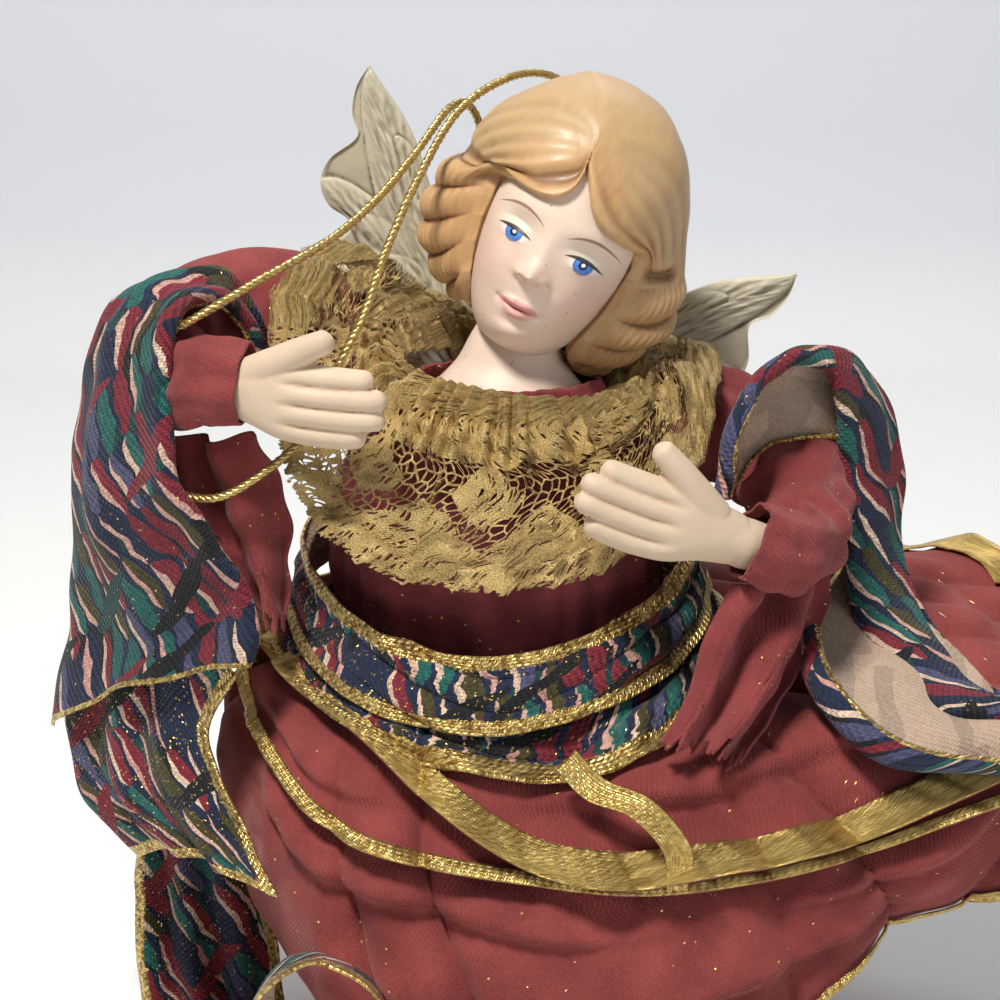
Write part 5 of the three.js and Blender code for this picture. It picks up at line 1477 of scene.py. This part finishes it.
# %% Paint groups
def make_spot():
    """A painted ellipse with soft rim, on the head's x and z."""
    tree, source, result = new_group(
        "painted_spot",
        [(name, "Vector") for name in ("Place", "Centre", "Turn", "Radius")] + [("Soft", "Float")],
        [("Mask", "Float"), ("Distance", "Float")])
    fitted = node(tree, "ShaderNodeMapping", {
        "Vector": source["Place"], "Location": source["Centre"], "Rotation": source["Turn"],
        "Scale": source["Radius"]}, vector_type="TEXTURE").outputs[0]
    length = node(tree, "ShaderNodeVectorMath", {0: fitted}, operation="LENGTH").outputs["Value"]
    outside = plus(tree, 1.0, source["Soft"])
    inside = minus(tree, 1.0, source["Soft"])
    mask = node(tree, "ShaderNodeMapRange", {"Value": length, "From Min": outside, "From Max": inside},
                interpolation_type="SMOOTHSTEP").outputs[0]
    tree.links.new(mask, result["Mask"])
    tree.links.new(length, result["Distance"])
    return tree


def make_arc():
    """A thin brush line along a shallow arc that tapers at both ends, and a mask of what lies below it."""
    names = ("Middle", "Height", "Slope", "Bend", "Half", "Width")
    tree, source, result = new_group(
        "painted_arc", [("Place", "Vector")] + [(name, "Float") for name in names],
        [("Mask", "Float"), ("Below", "Float")])
    parts = parts_of(tree, source["Place"])
    x = minus(tree, parts["X"], source["Middle"])
    curve = plus(tree, times(tree, x, source["Slope"]), times(tree, times(tree, x, x), source["Bend"]))
    above = minus(tree, parts["Z"], plus(tree, curve, source["Height"]))
    reach = calc(tree, "DIVIDE", x, source["Half"])
    taper = minus(tree, 1.0, times(tree, reach, reach))
    width = times(tree, calc(tree, "MAXIMUM", taper, 0.001), source["Width"])
    away = calc(tree, "DIVIDE", calc(tree, "ABSOLUTE", above), width)
    mask = node(tree, "ShaderNodeMapRange", {"Value": away, "From Min": 1.35, "From Max": 0.65},
                interpolation_type="SMOOTHSTEP").outputs[0]
    tree.links.new(times(tree, mask, calc(tree, "GREATER_THAN", taper, 0.02)), result["Mask"])
    below = share_between(tree, above, 0.08, -0.08)
    tree.links.new(below, result["Below"])
    return tree


SPOT = make_spot()
ARC = make_arc()
FAR = 1000.0
print("paint groups:", SPOT.name, ARC.name)


# %% Face paint
def make_face_paint():
    material, tree, surface = new_material("painted_face_skin")
    place = stored(tree, "head_place", "Vector")

    def spot(x, z, wide, high, soft, turn=0.0):
        return use_group(tree, SPOT, {
            "Place": place, "Centre": (x, 0, z), "Turn": (0, math.radians(turn), 0),
            "Radius": (wide, FAR, high), "Soft": soft})

    def arc(middle, height, slope, bend, half, width):
        return use_group(tree, ARC, {
            "Place": place, "Middle": middle, "Height": height, "Slope": slope, "Bend": bend,
            "Half": half, "Width": width})

    forward = parts_of(tree, place)["Y"]
    front = share_between(tree, forward, -2.0, -4.0)
    cloud = noise(tree, place, 0.16, 3.0)
    skin = blend_colour(tree, cloud, linear("DABFAB"), linear("EAD5C5"))

    def paint(base, mask, colour, strength=1.0):
        amount = times(tree, times(tree, mask, front), strength)
        return blend_colour(tree, amount, base, linear(colour))

    skin = paint(skin, spot(-7.8, -8.6, 5.2, 4.2, 0.85)["Mask"], "DB9A8C", 0.26)
    skin = paint(skin, spot(8.2, -8.2, 5.0, 4.2, 0.85)["Mask"], "DB9A8C", 0.26)
    skin = paint(skin, spot(0.2, -17.5, 3.6, 2.2, 0.9)["Mask"], "E8B9A8", 0.3)
    skin = paint(skin, spot(0.0, -7.6, 2.6, 1.4, 0.9)["Mask"], "E6B29C", 0.35)
    skin = paint(skin, spot(-5.7, -1.5, 2.4, 0.9, 0.45, -4)["Mask"], "CFD2C0", 0.45)
    skin = paint(skin, spot(6.2, -1.35, 2.4, 0.9, 0.45, 6)["Mask"], "CFD2C0", 0.45)
    lid_left = arc(-5.7, -2.12, -0.015, -0.048, 3.3, 0.34)
    lid_right = arc(6.2, -1.88, -0.12, -0.075, 3.3, 0.34)
    for lid, x, z in ((lid_left, -5.62, -2.72), (lid_right, 6.22, -2.62)):
        white = times(tree, spot(x, z - 0.25, 2.2, 1.15, 0.35)["Mask"], lid["Below"])
        skin = paint(skin, white, "ECE6E2", 0.9)
        iris = spot(x, z, 1.5, 1.5, 0.15)
        shown = times(tree, iris["Mask"], lid["Below"])
        rays = noise(tree, place, 5.0, 2.0)
        blue = blend_colour(tree, rays, linear("1E5FC0"), linear("66A8EE"))
        blue = blend_colour(tree, calc(tree, "GREATER_THAN", iris["Distance"], 0.86), blue, linear("1B3F8C"))
        skin = blend_colour(tree, times(tree, shown, front), skin, blue)
        pupil = times(tree, spot(x, z, 0.66, 0.66, 0.15)["Mask"], lid["Below"])
        skin = paint(skin, pupil, "14275A")
        # A white dot in each pupil: a painted highlight.
        skin = paint(skin, spot(x + 0.05, z + 0.1, 0.3, 0.3, 0.2)["Mask"], "FFFFFF")
        skin = paint(skin, arc(x, z - 1.28, 0.0, 0.07, 2.4, 0.09)["Mask"], "B98878", 0.6)
        skin = paint(skin, lid["Mask"], "2A2422", 0.95)
    skin = paint(skin, arc(-6.0, 1.6, 0.02, -0.08, 4.7, 0.25)["Mask"], "8E6243", 0.85)
    skin = paint(skin, arc(6.6, 1.42, -0.05, -0.085, 4.5, 0.25)["Mask"], "8E6243", 0.85)
    upper_lip = calc(tree, "MAXIMUM", spot(-1.25, -12.62, 2.0, 0.72, 0.3, -10)["Mask"],
                     spot(1.35, -12.62, 2.0, 0.72, 0.3, 10)["Mask"])
    skin = paint(skin, upper_lip, "D08E8C", 0.9)
    skin = paint(skin, spot(0.1, -13.85, 2.35, 0.9, 0.3)["Mask"], "D69A94", 0.9)
    skin = paint(skin, arc(0.0, -13.2, 0.0, 0.03, 3.2, 0.17)["Mask"], "A9666A", 0.8)
    fleck = use_group(tree, FLECKS, {"Place": place, "Scale": 2.4, "Share": 0.008})["Mask"]
    skin = blend_colour(tree, times(tree, fleck, 0.7), skin, linear("5A3B2C"))
    tree.links.new(skin, surface["Base Color"])
    grain = noise(tree, place, 1.6, 4.0)
    tree.links.new(plus(tree, 0.38, times(tree, grain, 0.2)), surface["Roughness"])
    tree.links.new(bump(tree, grain, 0.12, 0.0003), surface["Normal"])
    surface["Specular IOR Level"].default_value = 0.4
    return material


face.data.materials.append(make_face_paint())
settle(face, "head")
print("face painted")

# %% Hair shape
# Where the hair starts round the face, and its outer line, from the parting round by the left ear
HAIR_OPENING = [
    (-0.1, -12.7, 11.5), (2.3, -13.9, 8.4), (4.4, -14.0, 5.7), (7.3, -12.5, 3.6), (10.3, -8.8, 2.6),
    (12.0, -5.0, 1.8),
    (12.6, -4.2, -1.8), (12.4, -4.4, -4.8), (12.0, -4.6, -8.3), (11.2, -4.6, -11.6), (10.2, -4.0, -14.6),
    (9.6, -2.4, -17.2), (9.0, 1.0, -18.8), (5.0, 4.6, -18.0), (0.0, 6.0, -17.5), (-5.0, 4.6, -17.5),
    (-8.2, -1.0, -17.2), (-9.4, -4.0, -14.5), (-10.8, -4.6, -11.4), (-11.8, -4.8, -7.8), (-12.4, -4.8, -4.7),
    (-12.6, -4.8, -1.4), (-12.6, -4.6, 2.0), (-10.6, -8.4, 4.0), (-7.8, -11.8, 4.2), (-4.5, -14.2, 4.5),
    (-1.9, -14.8, 5.5), (-0.3, -14.4, 7.6), (0.0, -13.5, 10.0),
]
HAIR_OUTLINE = [
    (-7.4, 4, 23.3), (-0.9, 4, 24.1), (5.1, 4, 22.9), (10.9, 3, 18.7), (15.2, 2, 12.5), (17.7, 1, 6.6),
    (20.0, 1, 1.3), (21.5, 1, -3.0), (21.8, 1, -7.3), (20.3, 1, -11.2), (18.2, 2, -15.0),
    (16.1, 3, -18.2), (12.9, 5, -20.0), (8.0, 10, -21.0), (0.0, 12, -21.0), (-6.0, 10, -20.5),
    (-10.0, 4, -18.8), (-12.5, 2, -18.5), (-15.8, 1, -16.6), (-19.5, 1, -13.6), (-21.8, 1, -10.1),
    (-22.8, 1, -5.6), (-22.4, 2, -0.8), (-20.8, 3, 3.9), (-20.1, 4, 8.0), (-18.3, 4, 12.4),
    (-15.4, 4, 16.1), (-12.5, 4, 19.4), (-9.8, 4, 21.9),
]
HAIR_AXIS = (0.0, 3.0)
HAIR_BACK = 21.5
BRIM_HEIGHT = 1.5
BRIM_ROWS = 12
HAIR_ROWS = 130
HAIR_COLUMNS = 540
SOFT_SPAN = 36
# Strands of the fringe: reach, depth and width of each groove
HAIR_STRANDS = [
    (0.15, 0.75, 0.05), (0.32, 0.63, 0.05), (0.5, 0.48, 0.05), (0.72, 0.39, 0.06), (0.95, 0.3, 0.06),
]


def hair_relief(number, reach):
    """Combed strands that fan out from the parting, and rows of small curls at both cheeks.

    Number counts the opening's points round the face. Reach is 0 at the brim, 1 at the outer line and 2 at
    the back."""
    count = len(HAIR_OPENING)
    from_parting = np.where(number < count / 2, number / 6.0, (count - number) / 6.5)
    on_fringe = window(from_parting, -1, 1.0, 0.12)
    relief = np.zeros_like(reach)
    for far, deep, wide in HAIR_STRANDS:
        line = far * np.clip(from_parting, 0.002, 1.3) ** 0.6
        relief -= deep * hump(reach, line, wide) * window(from_parting, 0.16, 0.86, 0.25)
    left_lobe = window(number, 23.8, 27.4, 1.6)
    step = 0.2 * np.clip(from_parting, 0.02, 1) ** 0.4
    relief += 0.8 * left_lobe * (np.clip((reach - step) / 0.05 + 0.5, 0, 1) - 0.6)
    left_curls = np.abs(np.sin(math.pi * (number - 16.2) * 5 / 6.6 + 0.5 * np.sin(3 * reach))) ** 0.6 - 0.65
    right_curls = np.abs(np.sin(math.pi * ((number - 6.4) * 4 / 6.6 + 0.45 * reach))) ** 0.6 - 0.65
    sides = window(number, 16, 22.8, 0.5) * left_curls + window(number, 6.2, 13, 0.5) * right_curls
    relief += 1.6 * sides * window(reach, 0.18, 1.35, 0.4)
    relief -= 1.6 * hump(number, 5.7, 0.26) * window(reach, 0.1, 0.75, 0.2)
    relief -= 1.2 * hump(number, 23.0, 0.3) * window(reach, 0.05, 1.0, 0.2)
    strand = np.sin(TURN * (9 * reach + 0.25 * np.sin(1.7 * number)))
    relief += 0.06 * strand * window(reach, 0.15, 1.3, 0.3) * (1 - on_fringe)
    locks = np.abs(np.sin(math.pi * number * 0.9 + 0.8 * np.sin(4 * reach))) ** 0.7 - 0.6
    combed = np.abs(np.sin(math.pi * (22 * number / count + 0.35 * np.sin(3 * reach)))) ** 0.7 - 0.6
    relief += 0.5 * combed * window(reach, 1.1, 1.85, 0.35) * (1 - window(number, 4, 25, 3))
    return relief + 0.9 * locks * window(reach, 1.25, 1.85, 0.3) * window(number, 4, 25, 3)


def hair_skin(brim, outline, reach):
    """Arched skin from the brim over the outer line to the back of the head."""
    axis = np.array((HAIR_AXIS[0], 0, HAIR_AXIS[1]))
    spokes = []
    for line in (brim, outline):
        flat = (line - axis) * (1, 0, 1)
        spokes.append((np.linalg.norm(flat, axis=-1), np.unwrap(np.arctan2(flat[:, 2], flat[:, 0]))))
    (brim_far, brim_turn), (far, turn) = spokes
    turn = turn - TURN * np.round((turn - brim_turn) / (TURN))
    first = np.arcsin(np.clip(brim_far / far, 0, 0.98))
    ahead = np.clip(reach, 0, 1)
    lift = first + (math.pi / 2 - first) * ahead + np.clip(reach - 1, 0, 1) * (math.pi / 2 - 0.01)
    spoke = far * np.sin(lift)
    aim = brim_turn + (turn - brim_turn) * ahead
    front_depth = (outline[:, 1] - brim[:, 1]) / np.cos(first)
    back_depth = HAIR_BACK - outline[:, 1]
    depth = outline[:, 1] - np.cos(lift) * np.where(reach < 1, front_depth, back_depth)
    return np.stack((axis[0] + spoke * np.cos(aim), depth, axis[2] + spoke * np.sin(aim)), -1)


def hair_grid():
    share = np.arange(HAIR_COLUMNS) / HAIR_COLUMNS
    number = share * len(HAIR_OPENING)
    opening = smooth_line(HAIR_OPENING, share, closed=True)
    outline = smooth_line(HAIR_OUTLINE, share, closed=True)
    out = (opening - (0, -1, 0)) / np.square(FACE_HALF)
    out /= np.linalg.norm(out, axis=-1, keepdims=True)
    brim = opening + BRIM_HEIGHT * out
    shifts = range(-SOFT_SPAN, SOFT_SPAN + 1, 3)
    soft_brim = np.mean([np.roll(brim, step, axis=0) for step in shifts], axis=0)
    reach = np.linspace(0, 2, HAIR_ROWS)[:, None]
    smooth = np.clip(reach / 0.4, 0, 1)[..., None]
    smooth = smooth * smooth * (3 - 2 * smooth)
    skin = hair_skin(brim, outline, reach) * (1 - smooth) + hair_skin(soft_brim, outline, reach) * smooth
    normal = grid_normals(skin, True)
    normal *= np.sign(np.sum(normal * (skin - (0, 4, 3)), axis=-1, keepdims=True))
    numbers = np.broadcast_to(number, reach.shape[:1] + number.shape)
    relief = hair_relief(numbers, np.broadcast_to(reach, numbers.shape))
    skin = skin + normal * (relief * np.clip(reach * 20, 0, 1))[..., None]
    away = skin[3] - skin[0]
    away /= np.linalg.norm(away, axis=-1, keepdims=True)
    bow = np.linspace(-0.9, math.pi / 2, BRIM_ROWS)[:, None, None]
    roll = skin[0] - BRIM_HEIGHT * out * (1 - np.sin(bow)) - 0.9 * away * np.cos(bow) * (bow > 0)
    reached = np.concatenate((np.zeros((BRIM_ROWS - 1, 1)), reach)) * np.ones_like(share)
    return np.concatenate((roll[:-1], skin)), np.broadcast_to(number, reached.shape), reached


hair_points, hair_number, hair_reach = hair_grid()
hair_faces = tube_faces(len(hair_points), HAIR_COLUMNS, turned=True)
# The end round the face stays open
del hair_faces[-2]
hair = mesh_object("moulded_hair", in_head(hair_points.reshape(-1, 3)), hair_faces)
face_outward(hair)
hair_parting = np.minimum(hair_number, len(HAIR_OPENING) - hair_number)
side_curls = window(hair_parting, 6.2, 99, 1.0) * window(hair_reach, -1, 1.1, 0.5)
add_values(hair, "honey", np.maximum(side_curls, window(hair_reach, -1, 0.22, 0.3)))
print("hair points:", hair_points.shape[0] * hair_points.shape[1])


# %% Hair paint
def add_cavity(piece, rounds):
    """How far each point lies below the softened skin, in millimetres: negative in grooves."""
    count = len(piece.data.vertices)
    place = points_of(piece)
    normal = np.zeros(count * 3)
    piece.data.vertices.foreach_get("normal", normal)
    edges = np.zeros(len(piece.data.edges) * 2, int)
    piece.data.edges.foreach_get("vertices", edges)
    a, b = edges.reshape(-1, 2).T
    degree = np.maximum(np.bincount(np.concatenate((a, b)), minlength=count), 1)[:, None]
    soft = place.copy()
    for _ in range(rounds):
        total = np.zeros_like(soft)
        np.add.at(total, a, soft[b])
        np.add.at(total, b, soft[a])
        soft = total / degree
    depth = np.sum((place - soft) * normal.reshape(-1, 3), axis=1)
    add_values(piece, "cavity", depth)
    return depth


def make_hair_paint():
    """Honey paint, paler on the crown, with painted shade darkening the grooves and a painted highlight
    lightening the ridges.
    """
    material, tree, surface = new_material("hair_paint")
    place = stored(tree, "head_place", "Vector")
    cavity = stored(tree, "cavity")
    drawn = node(tree, "ShaderNodeMapping", {"Vector": place, "Scale": (0.9, 0.35, 0.35)}).outputs[0]
    streak = noise(tree, drawn, 1.0, 3.0)
    honey = blend_colour(tree, streak, linear("A87B4B"), linear("C79F70"))
    crown = blend_colour(tree, streak, linear("A98860"), linear("BB9C74"))
    honey = blend_colour(tree, stored(tree, "honey"), crown, honey)
    # Painted shade: the grooves are darkened towards dark brown.
    groove = share_between(tree, cavity, -0.02, -0.3)
    honey = blend_colour(tree, times(tree, groove, 0.75), honey, linear("6E4424"))
    # Painted highlight: the ridges are lightened.
    ridge_highlight = share_between(tree, cavity, 0.04, 0.25)
    honey = blend_colour(tree, times(tree, ridge_highlight, 0.35), honey, linear("D2AE7C"))
    tree.links.new(honey, surface["Base Color"])
    tree.links.new(plus(tree, 0.38, times(tree, streak, 0.25)), surface["Roughness"])
    tree.links.new(bump(tree, streak, 0.15, 0.0005), surface["Normal"])
    surface["Coat Weight"].default_value = 0.14
    surface["Coat Roughness"].default_value = 0.25
    return material


hair_depth = add_cavity(hair, 40)
add_head_place(hair)
hair.data.materials.append(make_hair_paint())
settle(hair, "head")
print("hair faces:", len(hair.data.polygons), "deepest groove", round(float(hair_depth.min()), 2))

# %% Hands
RIGHT_WRIST = ((-41.2, -27.5, 123.8), (0.957, -0.287, -0.049))
LEFT_WRIST = ((35, -31.5, 101.2), (-0.891, -0.224, 0.396))
WRIST_ROUTE = [(-6.4, 0, -0.6), (-3, 0, -0.7), (1, 0, -0.7), (4, -0.3, -0.8)]
WRIST_RADII = (4.0, 4.1, 3.9, 3.2)
THUMB_ROUTE = [(3, -0.8, 1.2), (7.5, -1.2, 3.6), (12.5, -1.4, 6.4), (17.2, -1.2, 8.8)]
THUMB_RADII = (2.9, 2.7, 2.25, 1.75)
LIMB_STEPS = 56
FINGER_TIPS = np.array((23.4, 25.6, 25.4, 22.4))
# Half width, half thickness and rise of the palm and fingers, from the wrist to the tips
PALM_LINE = [
    (4.0, 3.9, -0.6), (4.8, 3.5, -0.8), (6.0, 2.9, -1.4), (6.3, 2.35, -1.8), (6.3, 2.1, -1.9),
    (6.1, 1.9, -1.8),
]
PALM_ROWS = 96
PALM_COLUMNS = 176


def make_ivory_paint():
    material, tree, surface = new_material("ivory_paint")
    place = object_place(tree)
    grain = noise(tree, place, 900.0, 4.0)
    ivory = blend_colour(tree, noise(tree, place, 140.0, 2.0), linear("C5AC92"), linear("D8C4AC"))
    # Painted shade: the grooves between the fingers and round the thumb are darkened.
    groove = share_between(tree, stored(tree, "cavity"), -0.02, -0.25)
    ivory = blend_colour(tree, times(tree, groove, 0.6), ivory, linear("A97A58"))
    tree.links.new(ivory, surface["Base Color"])
    tree.links.new(plus(tree, 0.5, times(tree, grain, 0.25)), surface["Roughness"])
    tree.links.new(bump(tree, grain, 0.25, 0.0003), surface["Normal"])
    return material


def melt(piece, voxel, smooth_steps):
    """Melts overlapping shapes into one skin and rounds it."""
    remesh = piece.modifiers.new("melt", "REMESH")
    remesh.mode = "VOXEL"
    remesh.voxel_size = voxel * MM
    remesh.use_smooth_shade = True
    soft = piece.modifiers.new("soft", "SMOOTH")
    soft.factor = 0.5
    soft.iterations = smooth_steps
    apply_all(piece)


def add_limb(points, faces, route, radii, sides, depth):
    """A tapered rod with round ends along a route, a little flatter one way than the other."""
    share = np.linspace(0, 1, LIMB_STEPS)
    line = smooth_line(route, share)
    radius = np.interp(share, np.linspace(0, 1, len(radii)), radii)
    round_ends = np.sqrt(np.clip(np.minimum(share, 1 - share) * 14, 0.02, 1))
    _, side, other = line_frames(line)
    angle = np.arange(sides) / sides * TURN
    ring = (radius * round_ends)[:, None] * (1 + depth * np.cos(2 * angle))
    made = (line[:, None] + side[:, None] * (ring * np.cos(angle))[..., None]
            + other[:, None] * (ring * np.sin(angle))[..., None])
    faces += tube_faces(LIMB_STEPS, sides, sum(len(block) for block in points))
    points.append(made.reshape(-1, 3))


def add_palm(points, faces):
    """Palm that runs out into four closed fingers, with grooves between them and rounded tips."""
    s = np.linspace(0, 1, PALM_ROWS)[:, None]
    turn = np.linspace(0, TURN, PALM_COLUMNS, endpoint=False)[None, :]
    across = np.cos(turn)
    finger = np.clip(2 - 2 * across, 0, 3.999)
    beside = 2 * (finger % 1) - 1
    wide, thick, rise = np.moveaxis(smooth_line(PALM_LINE, s), -1, 0)
    apart = np.clip((s - 0.36) / 0.22, 0, 1)
    apart = apart * apart * (3 - 2 * apart)
    thick = thick * np.sqrt(np.clip(1 - (np.clip(s - 0.92, 0, 1) / 0.081) ** 2, 0, 1))
    thick = thick * (1 - apart * (1 - np.sqrt(1 - 0.72 * beside ** 2)))
    tip = FINGER_TIPS[finger.astype(int)] - 1.5 * (1 - np.sqrt(1 - 0.95 * beside ** 2))
    x = 25 * s - 1 + (tip - 24) * s ** 4
    y = thick * np.sign(np.sin(turn)) * np.abs(np.sin(turn)) ** 0.7 - 1.1 * np.sin(math.pi * s)
    faces += tube_faces(PALM_ROWS, PALM_COLUMNS, sum(len(block) for block in points))
    points.append(np.stack((x, y, rise + wide * across), -1).reshape(-1, 3))


def hand_piece(name, wrist, reach, mirror, body):
    points, faces = [], []
    add_limb(points, faces, WRIST_ROUTE, WRIST_RADII, sides=28, depth=0.05)
    add_palm(points, faces)
    add_limb(points, faces, THUMB_ROUTE, THUMB_RADII, sides=20, depth=0.03)
    local = np.concatenate(points)
    if mirror:
        local[:, 1] *= -1
    along = np.asarray(reach) / np.linalg.norm(reach)
    inward = np.cross((0, 0, 1), along)
    inward /= np.linalg.norm(inward)
    up = np.cross(along, inward)
    piece = mesh_object(name, local @ np.stack((along, inward, up)) + np.asarray(wrist), faces)
    if mirror:
        piece.data.flip_normals()
    melt(piece, 0.3, 3)
    add_cavity(piece, 12)
    piece.data.materials.append(ivory_paint)
    settle(piece, body, body)
    print(name, "faces:", len(piece.data.polygons))


ivory_paint = make_ivory_paint()
hand_piece("right_hand_cast", *RIGHT_WRIST, False, "right_hand")
hand_piece("left_hand_cast", *LEFT_WRIST, True, "left_hand")

# %% Wings
WING_BACK = 25.2
WING_THICK = 2.4
WING_LEAN = 25.9
WING_SPREAD = 40
WING_ROOT = (-3.6, 112)
WING_ROOT_GAP = 5.7
WING_ROWS = 220
WING_COLUMNS = 110
WING_LEADING = [(0, 6), (15, 7), (30, 5), (42, 4), (54, 0)]
WING_TRAILING = [
    (0, -8), (5, -13), (9, -13.4), (13, -12), (17, -16), (21, -17), (25, -15.6), (29, -10),
    (33, -12.6), (37, -13), (40.5, -10.5), (43, -5), (47, -4.8), (51, -3), (54, 0),
]
# Feathers: root, tip, half width and layer of each blade
WING_FEATHERS = [
    ((14, 1), (52.5, 0.2), 5.2, 0), ((12, 0), (37, -12.4), 5.4, 0), ((9, -2), (21.4, -16.4), 5.2, 0),
    ((4, -3), (6, -12.6), 5.0, 0), ((12, 2.5), (41, 1.6), 4.2, 1), ((11, 1), (30, -8.2), 4.4, 1),
    ((8, -1), (17, -11), 4.4, 1), ((4, -1), (6.5, -8.6), 4.2, 1), ((9, 3.4), (30, 2.6), 3.6, 2),
    ((8, 2), (22, -4.6), 3.8, 2), ((5, 1), (13, -6.4), 3.8, 2), ((2, 2), (18, 3.2), 3.8, 3),
    ((1, 1), (12, -2), 4.2, 3),
]


def wing_relief(x, y):
    """Height of the overlapping feathers on a wing, with a faint shaft and uneven streaks on each."""
    height = np.full_like(x, -0.2)
    for (x0, y0), (x1, y1), half, layer in WING_FEATHERS:
        long = math.hypot(x1 - x0, y1 - y0)
        way = np.array((x1 - x0, y1 - y0)) / long
        p = ((x - x0) * way[0] + (y - y0) * way[1]) / long
        q = (-(x - x0) * way[1] + (y - y0) * way[0])
        width = half * np.sqrt(np.clip(1 - ((p - 0.4) / 0.62) ** 2, 0, 1)) + 1e-6
        inside = (np.abs(q) < width) & (p > -0.2) & (p < 1.02)
        dome = 1 - (q / width) ** 2
        streaks = ripple(np.stack((p * long * 0.22 - np.abs(q) * 0.3, q), -1), 1.5, 71 + layer)
        streaks = streaks + 0.5 * ripple(np.stack((p * long * 0.3 - np.abs(q) * 0.5, q), -1), 0.8, 75 + layer)
        shaft = 0.2 * np.exp(-(q / 0.4) ** 2)
        blade = 0.34 * layer + 0.75 * np.sqrt(np.clip(dome, 0, 1)) + shaft + 0.2 * streaks * dome
        height = np.where(inside, np.maximum(height, blade), height)
    return height


def wing_piece(name, side, node_name):
    rows, columns = WING_ROWS, WING_COLUMNS
    s = np.linspace(0, 1, rows)[:, None] * 0.999
    t = np.linspace(0, 1, columns)[None, :]
    leading = smooth_line(WING_LEADING, np.repeat(s, columns, axis=1))
    trailing = smooth_line(WING_TRAILING, np.repeat(s, columns, axis=1))
    flat = leading + (trailing - leading) * t[..., None]
    x, y = flat[..., 0], flat[..., 1]
    relief = wing_relief(x, y)
    rim = np.clip(np.minimum(t, 1 - t) * 16, 0, 1) * np.clip((1 - s) * 14, 0, 1)
    front = WING_THICK - 0.5 + (relief - 0.2) * rim
    back = 0.5 - 0.45 * np.clip(relief, 0, 2) * rim * 0.8
    lean = math.radians(WING_LEAN)
    swing = math.radians(WING_LEAN + side * WING_SPREAD)
    along = np.array((math.sin(swing), 0, math.cos(swing)))
    across = np.array((-along[2], 0, along[0])) * side
    root = np.array((WING_ROOT[0] + side * WING_ROOT_GAP * math.cos(lean), WING_BACK,
                     WING_ROOT[1] - side * WING_ROOT_GAP * math.sin(lean)))
    flat_wing = root + x[..., None] * along + y[..., None] * across
    ahead = np.array((0, -1.0, 0))
    skins = [flat_wing + depth[..., None] * ahead for depth in (front, np.maximum(back, 0.02))]
    points = np.concatenate(skins).reshape(-1, 3)
    count = rows * columns
    faces = []
    for i in range(rows - 1):
        for j in range(columns - 1):
            a = i * columns + j
            faces.append((a, a + 1, a + columns + 1, a + columns))
            faces.append((count + a, count + a + columns, count + a + columns + 1, count + a + 1))
    rim_line = [(0, j) for j in range(columns)] + [(i, columns - 1) for i in range(1, rows)]
    rim_line += [(rows - 1, j) for j in range(columns - 2, -1, -1)]
    rim_line += [(i, 0) for i in range(rows - 2, 0, -1)]
    for k, (i, j) in enumerate(rim_line):
        n, m = rim_line[(k + 1) % len(rim_line)]
        faces.append((n * columns + m, i * columns + j, count + i * columns + j, count + n * columns + m))
    piece = mesh_object(name, points, faces)
    face_outward(piece)
    add_cavity(piece, 10)
    piece.data.materials.append(wing_paint)
    settle(piece, node_name)
    print(name, "faces:", len(piece.data.polygons))


def make_wing_paint():
    """Pale paint with a dark wash that stays in the grooves, in patches."""
    material, tree, surface = new_material("antiqued_wing_paint")
    place = object_place(tree)
    cloud = noise(tree, place, 120.0, 4.0)
    pale = blend_colour(tree, cloud, linear("B7AE93"), linear("DCD5C0"))
    deep = share_between(tree, stored(tree, "cavity"), 0.05, -0.12)
    wash = times(tree, deep, share_between(tree, cloud, 0.3, 0.52))
    tree.links.new(blend_colour(tree, times(tree, wash, 0.85), pale, linear("554A33")), surface["Base Color"])
    tree.links.new(bump(tree, noise(tree, place, 1100.0, 3.0), 0.3, 0.0003), surface["Normal"])
    surface["Roughness"].default_value = 0.7
    return material


wing_paint = make_wing_paint()
wing_piece("right_wing_cast", -1, "right_wing")
wing_piece("left_wing_cast", 1, "left_wing")

# %% [markdown]
# ## Core pieces
# Cone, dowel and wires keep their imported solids, because their plain shapes are right. They get their own
# finish: layered card, turned wood and drawn wire.


# %% Finishes of the core
def make_core(name, dark, light, scale, rough, metal, stretch):
    material, tree, surface = new_material(name)
    place = object_place(tree)
    drawn = node(tree, "ShaderNodeMapping", {"Vector": place, "Scale": stretch}).outputs[0]
    grain = noise(tree, drawn, scale, 5.0)
    tree.links.new(blend_colour(tree, grain, linear(dark), linear(light)), surface["Base Color"])
    tree.links.new(plus(tree, rough, times(tree, grain, 0.2)), surface["Roughness"])
    tree.links.new(bump(tree, grain, 0.3, 0.0003), surface["Normal"])
    surface["Metallic"].default_value = metal
    return material


card = make_core("cone_card", "8E7350", "C2A67C", 260.0, 0.7, 0.0, (1, 1, 4))
dowel_wood = make_core("dowel_wood", "9E7440", "D2AC74", 300.0, 0.5, 0.0, (3, 3, 0.4))
wire_steel = make_core("wire_steel", "6A6C70", "B4B6BA", 900.0, 0.25, 1.0, (1, 1, 1))
CORE = {
    "tree_cone": card, "neck_dowel": dowel_wood, "right_arm_wire": wire_steel, "left_arm_wire": wire_steel,
    "right_wing_wire": wire_steel, "left_wing_wire": wire_steel,
}
for node_name, finish in CORE.items():
    solid = bpy.data.objects[node_name]
    solid.data.materials.clear()
    solid.data.materials.append(finish)
print("core pieces:", len(CORE))
